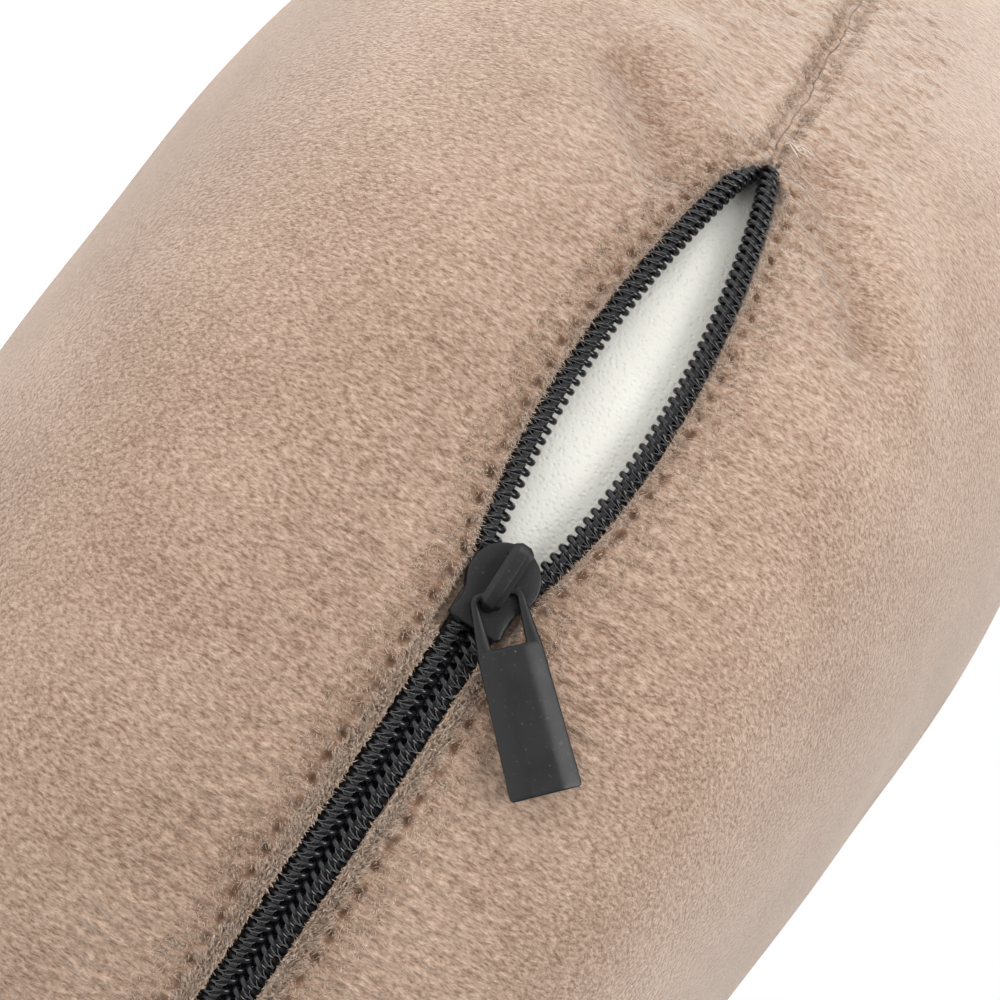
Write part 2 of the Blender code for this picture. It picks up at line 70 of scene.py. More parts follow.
# %% Sizes of the cushion, the zip and the slider
GAP = 0.0003
HALF_LONG = 0.070
HALF_SIDE = 0.015
RADIUS = 0.150
SEAM_HEIGHT = 0.072
RIM_BAND = 0.018
BACK_ROUND = 0.064
FRONT_ROUND = 0.090
ROUND_POWER = 2.1
COVER_WALL = 0.0023
ZIP_START, ZIP_END, SLIDER_AT, LENS_END = 3.0, 73.5, 45.0, 71.8
COIL_WIDTH = 0.0023
COIL_SPLIT = 0.00025
COIL_MIDDLE = -0.0012
LENS_HALF_GAP = 0.0058
LIP_CLOSE = 0.00045
LIP_CLEAR = 0.00456
TAIL_LENGTH = 0.0068
POST_HALF_WIDTH = 0.0009
TAPE_TOP, TAPE_BOTTOM = -0.0026, -0.0032
PITCH = 0.0015
CORNER = np.array([-HALF_LONG, -HALF_SIDE, 0.0])
UP = np.array([0.0, 0.0, 1.0])


def smoothstep(value):
    """0 below 0, 1 above 1, and 3v^2 - 2v^3 between."""
    value = np.clip(value, 0.0, 1.0)
    return value * value * (3.0 - 2.0 * value)


def bell(value, width):
    """exp(-(value / width)^2), a soft bump of height 1 at value 0."""
    return np.exp(-((value / width) ** 2))


def outward(degrees):
    """(-sin a, -cos a, 0): the rim's normal at an angle round the corner."""
    angle = np.radians(degrees)
    return np.stack([-np.sin(angle), -np.cos(angle), 0.0 * angle], axis=-1)


def arc(degrees):
    """Metres along the rim for an angle round the corner."""
    return np.radians(degrees) * RADIUS


def on_arc(degrees, level, offset):
    """corner + (radius + level) * outward(degrees) + (seam height + offset) * up."""
    degrees, level, offset = np.broadcast_arrays(degrees, level, offset)
    flat = CORNER + (RADIUS + level)[..., None] * outward(degrees)
    return flat + (SEAM_HEIGHT + offset)[..., None] * UP


def chain_offset(degrees):
    """Seam plane to a half chain's inner edge: closed before the slider, a lens after it."""
    along = arc(np.asarray(degrees, float) - SLIDER_AT)
    mouth = POST_HALF_WIDTH + 1.5 * GAP
    closed = COIL_SPLIT + (mouth - COIL_SPLIT) * smoothstep(1.0 + along / (TAIL_LENGTH / 2))
    end = arc(LENS_END - SLIDER_AT)
    share = np.clip(along / end, 0.0, 1.0)
    lens = np.abs(np.sin(np.pi * share**0.85)) ** 0.8
    ends = mouth + (COIL_SPLIT - mouth) * smoothstep(share)
    return np.where(along <= 0.0, closed, ends + (LENS_HALF_GAP - mouth) * lens)


def in_zip(degrees):
    """1 along the zip and 0 on the plain seam, with a soft step at both ends of the zip."""
    return smoothstep((ZIP_END - degrees) / 2.0) * smoothstep((degrees - ZIP_START) / 2.0)


def front_rise(x, y):
    """Front height over the seam: 60 + 12 bell(y, 80) - 6 bell(x, 90), in millimetres."""
    return 0.060 + 0.012 * bell(y, 0.080) - 0.006 * bell(x, 0.090)


zip_length = arc(ZIP_END - ZIP_START)
print(f"zip: {zip_length * 1000:.0f} mm, widest opening {2000 * LENS_HALF_GAP:.1f} mm")

# %% [markdown]
# ## Camera
# The camera stands close to the slider and looks almost straight at the rim, from the back
# side of the seam. It is rolled so that the closed chain runs to the lower left. Two pairs of
# directions fix a camera's turn: the line of sight with the place of the slider in the frame,
# and the chain's direction with the way it runs across the frame.

# %% The slider's own axes, and the camera
SLIDER_X = np.array([1.0, -1.0, 0.0]) / math.sqrt(2.0)
SLIDER_Y = UP
SLIDER_Z = outward(np.array(SLIDER_AT))
SLIDER_ORIGIN = on_arc(SLIDER_AT, 0.0, 0.0)

CAMERA_ROUND, CAMERA_RISE, CAMERA_DISTANCE = 32.5, -2.5, 0.320
FOCAL = 2.743
SLIDER_IN_FRAME = np.array([0.003, -0.081])
CHAIN_IN_FRAME = np.array([-0.545, -0.838])


def unit(vector):
    return vector / np.linalg.norm(vector, axis=-1, keepdims=True)


def basis(first, second):
    """Three square unit columns: first, the part of second square to it, and their product."""
    first = unit(first)
    second = unit(second - first * (second @ first))
    return np.stack([first, second, np.cross(first, second)], axis=1)


def add_camera():
    rise = math.radians(CAMERA_RISE)
    away = outward(np.array(CAMERA_ROUND)) * math.cos(rise) + UP * math.sin(rise)
    place = SLIDER_ORIGIN + away * CAMERA_DISTANCE
    seen = basis(np.array([*SLIDER_IN_FRAME / FOCAL, -1.0]), np.array([*CHAIN_IN_FRAME, 0.0]))
    real = basis(-away, SLIDER_X)
    matrix = np.eye(4)
    matrix[:3, :3] = real @ seen.T
    matrix[:3, 3] = place
    data = bpy.data.cameras.new("camera")
    data.sensor_width = 36.0
    data.lens = FOCAL * 36.0
    data.clip_start = 0.01
    data.clip_end = 50.0
    camera = bpy.data.objects.new("camera", data)
    camera.matrix_world = matrix.T.tolist()
    bpy.context.scene.collection.objects.link(camera)
    bpy.context.scene.camera = camera
    return place


camera_place = add_camera()
print("camera at", camera_place.round(3), "lens", round(FOCAL * 36.0, 1), "mm")

# %% [markdown]
# ## Floor and light
# A plain white floor and a white world stand in for a light tent. One broad lamp leans light
# over the opening, one fills from the closed end of the zip, one lights the far edge and one
# hangs above. Broad lamps give matte black paint soft highlights and leave hardly any shadow.

# %% Stage
TENT_DARK, TENT_BRIGHT = 0.24, 0.34
FLOOR_HALF, FLOOR_LEVEL = 6.0, -0.0005
TENT_SIDE = 0.25 * SLIDER_Z - 0.55 * SLIDER_X + 0.84 * UP


def add_lamp(name, toward, distance, size, watts, target=SLIDER_ORIGIN):
    """A round lamp at target + distance * unit(toward), turned to face the target."""
    toward = unit(np.array(toward, float))
    data = bpy.data.lights.new(name, "AREA")
    data.shape = "DISK"
    data.size = size
    data.energy = watts
    lamp = bpy.data.objects.new(name, data)
    turn = basis(toward, np.array([0.2, 0.1, 1.0]) + toward[::-1] * 0.1)
    matrix = np.eye(4)
    matrix[:3, :3] = np.stack([turn[:, 1], turn[:, 2], turn[:, 0]], axis=1)
    matrix[:3, 3] = target + toward * distance
    lamp.matrix_world = matrix.T.tolist()
    lamp.visible_camera = False
    bpy.context.scene.collection.objects.link(lamp)


def add_stage():
    world = bpy.data.worlds.new("light_tent")
    world.use_nodes = True
    tree = world.node_tree
    background = tree.nodes["Background"]
    background.inputs["Color"].default_value = (1.0, 1.0, 1.0, 1.0)
    seen = tree.nodes.new("ShaderNodeLightPath").outputs["Is Camera Ray"]
    facing = tree.nodes.new("ShaderNodeVectorMath")
    facing.operation = "DOT_PRODUCT"
    facing.inputs[1].default_value = unit(TENT_SIDE)
    tree.links.new(tree.nodes.new("ShaderNodeTexCoord").outputs["Generated"], facing.inputs[0])
    lit = tree.nodes.new("ShaderNodeMapRange")
    strength = tree.nodes.new("ShaderNodeMapRange")
    for node, limits in ((lit, (-1.0, 1.0, TENT_DARK, TENT_BRIGHT)), (strength, (0.0, 1.0, 0.0, 1.0))):
        for socket, value in zip(node.inputs[1:5], limits):
            socket.default_value = value
    tree.links.new(facing.outputs["Value"], lit.inputs["Value"])
    tree.links.new(seen, strength.inputs["Value"])
    tree.links.new(lit.outputs[0], strength.inputs["To Min"])
    tree.links.new(strength.outputs[0], background.inputs["Strength"])
    bpy.context.scene.world = world
    mesh = bpy.data.meshes.new("floor")
    signs = ((-1, -1), (1, -1), (1, 1), (-1, 1))
    corners = [(x * FLOOR_HALF, y * FLOOR_HALF, FLOOR_LEVEL) for x, y in signs]
    mesh.from_pydata(corners, [], [(0, 1, 2, 3)])
    paint = bpy.data.materials.new("floor_paint")
    paint.use_nodes = True
    sockets = paint.node_tree.nodes["Principled BSDF"].inputs
    sockets["Base Color"].default_value = (0.30, 0.30, 0.30, 1.0)
    sockets["Roughness"].default_value = 0.9
    sockets["Emission Color"].default_value = (1.0, 1.0, 1.0, 1.0)
    sockets["Emission Strength"].default_value = 1.25
    mesh.materials.append(paint)
    floor = bpy.data.objects.new("floor", mesh)
    bpy.context.scene.collection.objects.link(floor)
    floor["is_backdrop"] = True


add_stage()
add_lamp("key_lamp", 0.77 * SLIDER_Z - 0.35 * SLIDER_X + 0.54 * UP, 0.62, 0.33, 2.7)
add_lamp("rim_lamp", 0.60 * SLIDER_Z - 1.10 * SLIDER_X - 0.10 * UP, 0.90, 0.45, 3.0)
add_lamp("edge_lamp", -0.35 * SLIDER_Z - 0.545 * SLIDER_X + 0.838 * UP, 1.2, 0.9, 8.0)
add_lamp("top_lamp", (0.1, 0.2, 1.0), 1.6, 1.4, 8.5, target=np.zeros(3))
bpy.context.scene.view_settings.view_transform = "Standard"
print("floor, world and four lamps")

# %% [markdown]
# ## From grids to meshes
# Every piece below is one or more grids of points. A grid becomes quads between each row and
# the next. Points that fall on the same place are merged, so a row that shrinks to a point
# closes a pole. A closed shell's signed volume tells which way its faces point.

# %% Grid helpers
def grid_quads(rows, cols, wrap_rows):
    """Corner numbers of the quads of a rows x cols grid whose columns go all the way round."""
    i = np.arange(rows if wrap_rows else rows - 1)[:, None]
    i, j = np.broadcast_arrays(i, np.arange(cols)[None, :])
    after_i, after_j = (i + 1) % rows, (j + 1) % cols
    quads = [i * cols + j, i * cols + after_j, after_i * cols + after_j, after_i * cols + j]
    return np.stack(quads, axis=-1).reshape(-1, 4)


def shell(grid, wrap_rows=False):
    """(points, quads) of one closed shell, or of a stack of equal ones, facing outwards."""
    stack = grid[None] if grid.ndim == 3 else grid
    count, rows, cols = stack.shape[:3]
    quads = grid_quads(rows, cols, wrap_rows)
    first = stack[0].reshape(-1, 3) - stack[0].reshape(-1, 3).mean(axis=0)
    a, b, c, d = (first[quads[:, k]] for k in range(4))
    volume = (np.cross(b - a, c - a) * a).sum() + (np.cross(c - a, d - a) * a).sum()
    if volume < 0.0:
        quads = quads[:, ::-1]
    shift = np.arange(count)[:, None, None] * (rows * cols)
    return stack.reshape(-1, 3), (quads[None] + shift).reshape(-1, 4)


def capped(rings):
    """The rings with a point at each end, in the middle of the first and of the last ring."""
    middles = rings.mean(axis=1, keepdims=True) + 0.0 * rings
    return np.concatenate([middles[:1], rings, middles[-1:]])


def join_shells(parts):
    """Several (points, quads) as one."""
    starts = np.cumsum([0] + [len(points) for points, _ in parts[:-1]])
    points = np.concatenate([points for points, _ in parts])
    quads = np.concatenate([quads + start for (_, quads), start in zip(parts, starts)])
    return points, quads


def make_piece(name, parts, material, uv=None, painted_shading=None):
    """A mesh object from shells: merges equal points, drops collapsed corners, shades smooth.

    uv is a map with one pair per grid point. The last argument is shade painted into the pile's colour,
    and below zero it paints light.
    """
    points, quads = join_shells(parts)
    keys = np.round(points * 1e7).astype(np.int64)
    _, first, index = np.unique(keys, axis=0, return_index=True, return_inverse=True)
    corner_uv = None if uv is None else uv[quads]
    quads = index.reshape(-1)[quads]
    same = quads == np.roll(quads, -1, axis=1)
    whole = ~same.any(axis=1)
    single = same.sum(axis=1) == 1
    start = same[single].argmax(axis=1)[:, None]
    three = (start + np.array([1, 2, 3])) % 4
    triangles = np.take_along_axis(quads[single], three, axis=1)
    corners = np.concatenate([quads[whole].ravel(), triangles.ravel()])
    fours, threes = int(whole.sum()), int(single.sum())
    starts = np.concatenate([np.arange(fours) * 4, fours * 4 + np.arange(threes) * 3])
    mesh = bpy.data.meshes.new(name)
    mesh.vertices.add(len(first))
    mesh.loops.add(len(corners))
    mesh.polygons.add(len(starts))
    mesh.vertices.foreach_set("co", points[first].astype(np.float32).ravel())
    mesh.loops.foreach_set("vertex_index", corners.astype(np.int32))
    mesh.polygons.foreach_set("loop_start", starts.astype(np.int32))
    mesh.update()
    if uv is not None:
        layer = mesh.uv_layers.new(name="surface")
        kept = np.take_along_axis(corner_uv[single], three[..., None], axis=1)
        values = np.concatenate([corner_uv[whole].reshape(-1, 2), kept.reshape(-1, 2)])
        layer.data.foreach_set("uv", values.astype(np.float32).ravel())
    if painted_shading is not None:
        layer = mesh.attributes.new("painted_shading", "FLOAT", "POINT")
        layer.data.foreach_set("value", painted_shading.ravel()[first].astype(np.float32))
    mesh.shade_smooth()
    mesh.materials.append(material)
    piece = bpy.data.objects.new(name, mesh)
    bpy.context.scene.collection.objects.link(piece)
    print(f"{name}: {2 * fours + threes} triangles")
    return piece


def fit(piece, body, slot, *nodes):
    """The piece rides on a body and stands for CAD nodes, which are hidden. slot is not used."""
    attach(piece, body)
    if nodes:
        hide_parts(*nodes)
    return piece


def tube(path, radius, sides=8, hint=UP, squeeze=1.0):
    """path + radius (cos a * side * squeeze + sin a * top) round each point of a path.

    side = tangent x hint, top = side x tangent. Both ends shrink to points.
    """
    tangent = np.gradient(path, axis=-2)
    side = unit(np.cross(tangent, np.broadcast_to(hint, tangent.shape)))
    top = unit(np.cross(side, tangent))
    turn = 2.0 * np.pi * np.arange(sides) / sides
    radius = np.broadcast_to(radius, path.shape[:-1])[..., None, None]
    squeeze = np.broadcast_to(squeeze, path.shape[:-1])[..., None, None]
    wide = np.cos(turn)[:, None] * side[..., None, :] * squeeze
    rings = path[..., None, :] + radius * (wide + np.sin(turn)[:, None] * top[..., None, :])
    start = np.repeat(path[..., :1, None, :], sides, axis=-2)
    end = np.repeat(path[..., -1:, None, :], sides, axis=-2)
    return np.concatenate([start, rings, end], axis=-3)


print("helpers ready")

# %% [markdown]
# ## Shared finishes
# Pile, weave and paint are effects that several materials use, so each is a node group that is
# built once. A group gives out colour and height, and pile and paint give roughness too. The
# shader stays in the material, and numbers that are the same all over, such as sheen, stay on
# the shader's own sockets.

# %% Node helpers
def add_node(tree, kind, **settings):
    """A node with its properties, and its inputs by name or number in values={...}."""
    values = settings.pop("values", {})
    made = tree.nodes.new(kind)
    for key, value in settings.items():
        setattr(made, key, value)
    for key, value in values.items():
        if isinstance(value, bpy.types.NodeSocket):
            tree.links.new(value, made.inputs[key])
        else:
            made.inputs[key].default_value = value
    return made


def maths(tree, operation, first, second=0.0, third=0.0):
    node = add_node(tree, "ShaderNodeMath", operation=operation)
    for socket, value in zip(node.inputs, (first, second, third)):
        if isinstance(value, bpy.types.NodeSocket):
            tree.links.new(value, socket)
        else:
            socket.default_value = value
    return node.outputs[0]


def between(tree, value, low, high, to_low=0.0, to_high=1.0):
    """value carried from low..high to to_low..to_high, and held at both ends."""
    values = {0: value, 1: low, 2: high, 3: to_low, 4: to_high}
    return add_node(tree, "ShaderNodeMapRange", values=values).outputs[0]


def mixed(tree, share, first, second):
    """A colour between first and second."""
    values = {0: share, 6: first, 7: second}
    return add_node(tree, "ShaderNodeMix", data_type="RGBA", values=values).outputs[2]


def noise(tree, vector, scale, detail=2.0, rough=0.5):
    values = {"Vector": vector, "Scale": scale, "Detail": detail, "Roughness": rough}
    return add_node(tree, "ShaderNodeTexNoise", values=values).outputs["Fac"]


def new_group(name, inputs, outputs):
    """A shader node group with named sockets, as (tree, inputs, function that sets outputs)."""
    tree = bpy.data.node_groups.new(name, "ShaderNodeTree")
    kinds = {"vector": "NodeSocketVector", "color": "NodeSocketColor", "value": "NodeSocketFloat"}
    for label, kind in inputs.items():
        tree.interface.new_socket(label, in_out="INPUT", socket_type=kinds[kind])
    for label, kind in outputs.items():
        tree.interface.new_socket(label, in_out="OUTPUT", socket_type=kinds[kind])
    entry = tree.nodes.new("NodeGroupInput").outputs
    leave = tree.nodes.new("NodeGroupOutput").inputs

    def give(label, socket):
        tree.links.new(socket, leave[label])

    return tree, entry, give


print("node helpers ready")

# %% [markdown]
# Velour is a knit whose cut pile stands up in tiny clumps that lean one way. The clumps are a
# noise that is stretched along the lay, with a finer one for single fibres and a broad one for
# the places where a hand has brushed the pile.

# %% Pile group
def build_pile_group():
    inputs = {"Vector": "vector", "Dark": "color", "Light": "color", "Painted Shading": "value"}
    outputs = {"Color": "color", "Height": "value", "Roughness": "value"}
    tree, entry, give = new_group("pile", inputs, outputs)
    mapping = {"Vector": entry["Vector"], "Rotation": (0.22, 0.12, 0.0), "Scale": (1.0, 1.0, 0.42)}
    lay = add_node(tree, "ShaderNodeMapping", values=mapping).outputs[0]
    clump = noise(tree, lay, 2300.0, 3.0, 0.6)
    fibre = noise(tree, lay, 5200.0, 2.0, 0.6)
    brushed = noise(tree, entry["Vector"], 55.0, 3.0, 0.55)
    broad = noise(tree, entry["Vector"], 13.0, 2.0, 0.5)
    height = maths(tree, "MULTIPLY_ADD", fibre, 0.40, clump)
    # The tint follows the clumps' height: gaps between clumps are painted darker as shade and the tops
    # lighter as light; the brushed and broad noises are the pile's own uneven tone.
    share = between(tree, height, 0.48, 0.94)
    share = maths(tree, "MULTIPLY_ADD", maths(tree, "SUBTRACT", brushed, 0.5), 0.45, share)
    share = maths(tree, "MULTIPLY_ADD", maths(tree, "SUBTRACT", broad, 0.5), 0.30, share)
    # Painted shade: the fourth input darkens the pile's tint, and above 0.12 it mixes in a dark brown as
    # shade in creases; below zero it paints the tint lighter.
    share = maths(tree, "MULTIPLY_ADD", entry["Painted Shading"], -0.60, share)
    share = between(tree, share, 0.0, 1.0)
    tint = mixed(tree, share, entry["Dark"], entry["Light"])
    crevice_shade = between(tree, entry["Painted Shading"], 0.12, 0.95, 0.0, 0.92)
    give("Color", mixed(tree, crevice_shade, tint, (0.130, 0.070, 0.040, 1.0)))
    give("Height", height)
    give("Roughness", between(tree, brushed, 0.2, 0.8, 0.95, 0.78))
    return tree


PILE = build_pile_group()


def object_coordinates(tree):
    return add_node(tree, "ShaderNodeTexCoord").outputs["Object"]


def own_uv(tree):
    return add_node(tree, "ShaderNodeUVMap", uv_map="surface").outputs["UV"]


def start_material(name):
    """An empty material with a shader, as (material, tree, shader)."""
    material = bpy.data.materials.new(name)
    material.use_nodes = True
    tree = material.node_tree
    return material, tree, tree.nodes["Principled BSDF"]


def add_bump(tree, shader, height, distance):
    values = {"Height": height, "Distance": distance, "Strength": 1.0}
    bump = add_node(tree, "ShaderNodeBump", values=values)
    tree.links.new(bump.outputs[0], shader.inputs["Normal"])


def group_material(name, group, place, dark, light, relief, constants):
    """A material whose colour, roughness and height come from a group with two tints."""
    material, tree, shader = start_material(name)
    tints = {"Vector": place(tree), "Dark": (*dark, 1.0), "Light": (*light, 1.0)}
    node = add_node(tree, "ShaderNodeGroup", node_tree=group, values=tints)
    tree.links.new(node.outputs["Color"], shader.inputs["Base Color"])
    if "Roughness" in node.outputs:
        tree.links.new(node.outputs["Roughness"], shader.inputs["Roughness"])
    for socket, value in constants.items():
        shader.inputs[socket].default_value = value
    add_bump(tree, shader, node.outputs["Height"], relief)
    return material, tree, node


def velour(name, dark, light, sheen=0.9):
    constants = {"Sheen Weight": sheen, "Sheen Roughness": 0.30,
                 "Sheen Tint": (1.0, 0.93, 0.87, 1.0), "Specular IOR Level": 0.15}
    made = group_material(name, PILE, object_coordinates, dark, light, 0.00045, constants)
    material, tree, node = made
    # Painted shade: the panels' attribute darkens the pile where shade falls, and below zero it paints
    # the pile lighter.
    painted_shading = add_node(tree, "ShaderNodeAttribute", attribute_name="painted_shading")
    tree.links.new(painted_shading.outputs["Fac"], node.inputs["Painted Shading"])
    return material


VELOUR_FRONT = velour("velour_front", (0.218, 0.130, 0.085), (0.565, 0.422, 0.328))
VELOUR_BACK = velour("velour_back", (0.212, 0.126, 0.082), (0.552, 0.411, 0.319))
# Painted light: the fibres are the same velour painted about twice as light, to make up for the shade
# they stand in on the skirt, the lips and the seam.
LIGHTENED_FIBRE_FRONT = velour("lightened_pile_fibre_front", (0.470, 0.320, 0.225), (0.850, 0.690, 0.560), 0.3)
LIGHTENED_FIBRE_BACK = velour("lightened_pile_fibre_back", (0.460, 0.312, 0.220), (0.835, 0.675, 0.548), 0.3)
print("velour: two panels, one pile group")

# %% [markdown]
# Threads, tapes and cords are twisted or woven. The weave group crosses two waves on a surface
# map whose first number runs along the piece, both counted in threads, so that each yarn shows
# as a small rounded hill.

# %% Weave group and its materials
def build_weave_group():
    inputs = {"Vector": "vector", "Dark": "color", "Light": "color"}
    tree, entry, give = new_group("weave", inputs, {"Color": "color", "Height": "value"})
    split = add_node(tree, "ShaderNodeSeparateXYZ", values={0: entry["Vector"]}).outputs
    along = maths(tree, "MULTIPLY", split[0], math.pi)
    across = maths(tree, "MULTIPLY", split[1], math.pi)
    warp = maths(tree, "ABSOLUTE", maths(tree, "SINE", maths(tree, "ADD", across, along)))
    weft = maths(tree, "ABSOLUTE", maths(tree, "SINE", maths(tree, "SUBTRACT", across, along)))
    hill = maths(tree, "MAXIMUM", warp, weft)
    fuzz = noise(tree, entry["Vector"], 5.0, 3.0, 0.7)
    height = maths(tree, "MULTIPLY_ADD", fuzz, 0.5, hill)
    give("Color", mixed(tree, between(tree, height, 0.6, 1.3), entry["Dark"], entry["Light"]))
    give("Height", height)
    return tree


WEAVE = build_weave_group()


def woven(name, dark, light, relief, roughness=0.85, sheen=0.2):
    constants = {"Roughness": roughness, "Sheen Weight": sheen}
    return group_material(name, WEAVE, own_uv, dark, light, relief, constants)[0]


ZIP_TAPE = woven("zip_tape_black", (0.004, 0.004, 0.005), (0.014, 0.014, 0.016), 0.00016)
# Painted highlight: the sewing thread is black like the tape, and its grey tint is lifted so that the
# threads show as thin light lines over the coil.
CHAIN_THREAD = woven("chain_thread_black", (0.028, 0.028, 0.030), (0.095, 0.095, 0.100), 0.00004, 0.5)
COIL_CORD = woven("coil_cord_black", (0.010, 0.010, 0.011), (0.035, 0.035, 0.037), 0.00008)
BROWN_THREAD = woven("brown_thread", (0.12, 0.070, 0.044), (0.26, 0.170, 0.120), 0.00006, 0.9, 0.0)
TACK_THREAD = woven("tack_thread_light", (0.36, 0.26, 0.20), (0.72, 0.60, 0.50), 0.00006)
print("woven finishes: 5")

# %% [markdown]
# ## Hard finishes
# The coil is smooth black nylon wire. The slider and the pull are zinc castings under matte
# black paint, with a faint orange-peel surface, fine rub marks and a little lint. Rub marks and
# specks are one group, so that both castings wear alike.

# %% Nylon and paint
def nylon_material():
    material, tree, shader = start_material("nylon_coil_black")
    place = object_coordinates(tree)
    grain = noise(tree, place, 900.0, 3.0, 0.6)
    tint = mixed(tree, grain, (0.005, 0.005, 0.006, 1.0), (0.014, 0.014, 0.016, 1.0))
    tree.links.new(tint, shader.inputs["Base Color"])
    tree.links.new(between(tree, grain, 0.3, 0.7, 0.10, 0.20), shader.inputs["Roughness"])
    shader.inputs["Specular IOR Level"].default_value = 0.36
    add_bump(tree, shader, grain, 0.00002)
    return material


def build_paint_group():
    inputs = {"Vector": "vector", "Dark": "color", "Light": "color"}
    outputs = {"Color": "color", "Roughness": "value", "Height": "value"}
    tree, entry, give = new_group("worn_paint", inputs, outputs)
    peel = noise(tree, entry["Vector"], 2600.0, 3.0, 0.6)
    patch = noise(tree, entry["Vector"], 260.0, 3.0, 0.6)
    stretch = {"Vector": entry["Vector"], "Rotation": (0.4, 0.2, 0.9), "Scale": (4.0, 0.35, 2.0)}
    rub = noise(tree, add_node(tree, "ShaderNodeMapping", values=stretch).outputs[0], 900.0, 2.0, 0.5)
    rub = between(tree, rub, 0.66, 0.74)
    lint = noise(tree, entry["Vector"], 2600.0, 1.0, 0.4)
    lint = between(tree, lint, 0.765, 0.80, 0.0, 0.22)
    mark = maths(tree, "MAXIMUM", maths(tree, "MULTIPLY", rub, 0.10), lint)
    give("Color", mixed(tree, mark, entry["Dark"], entry["Light"]))
    rough = between(tree, patch, 0.3, 0.7, 0.30, 0.42)
    give("Roughness", maths(tree, "MULTIPLY_ADD", mark, 0.3, rough))
    give("Height", maths(tree, "MULTIPLY_ADD", rub, -0.2, peel))
    return tree


WORN_PAINT = build_paint_group()


def painted(name, dark, relief):
    light, constants = (0.30, 0.28, 0.26), {"Specular IOR Level": 0.30}
    return group_material(name, WORN_PAINT, object_coordinates, dark, light, relief, constants)[0]


def steel_material():
    material, tree, shader = start_material("dark_spring_steel")
    brushed = {"Vector": object_coordinates(tree), "Scale": (3.0, 3.0, 0.4)}
    streak = noise(tree, add_node(tree, "ShaderNodeMapping", values=brushed).outputs[0], 1400.0)
    tint = mixed(tree, streak, (0.10, 0.10, 0.105, 1.0), (0.22, 0.22, 0.23, 1.0))
    tree.links.new(tint, shader.inputs["Base Color"])
    tree.links.new(between(tree, streak, 0.3, 0.7, 0.28, 0.45), shader.inputs["Roughness"])
    shader.inputs["Metallic"].default_value = 1.0
    return material


NYLON = nylon_material()
SLIDER_PAINT = painted("slider_matte_black", (0.006, 0.006, 0.007), 0.000012)
PULL_PAINT = painted("pull_matte_black", (0.007, 0.007, 0.008), 0.000010)
SPRING_STEEL = steel_material()
print("hard finishes: 4")

# %% [markdown]
# ## Foam core
# Slow-recovery foam shows only in the opening, as a pale cream skin with fine open cells. Cells
# are a crackle of small pits, and a few bubbles are larger. The core is one closed shell: the
# two faces of the cushion a little inside the cover, joined by a straight wall behind the zip.

# %% Foam material
def foam_material():
    material, tree, shader = start_material("cream_foam")
    place = object_coordinates(tree)
    cells = {"Vector": place, "Scale": 1500.0}
    pits = add_node(tree, "ShaderNodeTexVoronoi", values=cells).outputs["Distance"]
    large = {"Vector": place, "Scale": 330.0}
    bubbles = add_node(tree, "ShaderNodeTexVoronoi", values=large).outputs["Distance"]
    bubble = between(tree, bubbles, 0.05, 0.16)
    cloud = noise(tree, place, 90.0, 3.0, 0.6)
    fine = noise(tree, place, 1900.0, 2.0, 0.6)
    height = maths(tree, "MULTIPLY_ADD", bubble, 0.7, between(tree, pits, 0.0, 0.5))
    height = maths(tree, "MULTIPLY_ADD", fine, 0.6, height)
    tint = mixed(tree, cloud, (0.60, 0.588, 0.535, 1.0), (0.66, 0.65, 0.605, 1.0))
    # Painted shade: inside the larger bubbles, where the height is lowest, the cream is mixed up to a
    # third with a darker yellowish tone.
    tint = mixed(tree, between(tree, bubble, 0.0, 1.0, 0.35, 0.0), tint, (0.56, 0.53, 0.44, 1.0))
    tree.links.new(tint, shader.inputs["Base Color"])
    shader.inputs["Roughness"].default_value = 0.9
    shader.inputs["Specular IOR Level"].default_value = 0.25
    add_bump(tree, shader, height, 0.00011)
    return material


FOAM = foam_material()
print("foam finish ready")

# %% [markdown]
# ## The cushion's outline as stations
# A station is a place on the outline: the centre that the rim is round there, and the angle of
# its normal. Stations lie 0.4 mm apart where the zip and the seam beside it need fine cloth,
# and a few millimetres apart elsewhere.

# %% Stations
def build_stations(zip_steps, side_steps, coarse):
    """(centres, degrees) clockwise from the start of the zip's corner."""
    plan = [
        ((-HALF_LONG, -HALF_SIDE), 0.0, zip_steps, (-HALF_LONG, HALF_SIDE), side_steps),
        ((-HALF_LONG, HALF_SIDE), 90.0, coarse, (HALF_LONG, HALF_SIDE), coarse),
        ((HALF_LONG, HALF_SIDE), 180.0, coarse, (HALF_LONG, -HALF_SIDE), coarse // 4),
        ((HALF_LONG, -HALF_SIDE), 270.0, coarse, (-HALF_LONG, -HALF_SIDE), coarse),
    ]
    centres, degrees = [], []
    for centre, start, turn_steps, after, straight_steps in plan:
        turn = np.linspace(0.0, 90.0, turn_steps, endpoint=False)
        centres.append(np.tile(centre, (turn_steps, 1)))
        degrees.append(start + turn)
        share = np.linspace(0.0, 1.0, straight_steps, endpoint=False)[:, None]
        centres.append(np.array(centre) + share * (np.array(after) - np.array(centre)))
        degrees.append(np.full(straight_steps, start + 90.0))
    flat = np.concatenate(centres)
    return np.column_stack([flat, np.zeros(len(flat))]), np.concatenate(degrees)


def along_outline(centres, degrees):
    """Distance round the rim from the start of the zip's corner, in metres."""
    points = centres + RADIUS * outward(degrees)
    steps = np.linalg.norm(np.diff(points, axis=0), axis=1)
    return np.concatenate([[0.0], np.cumsum(steps)])


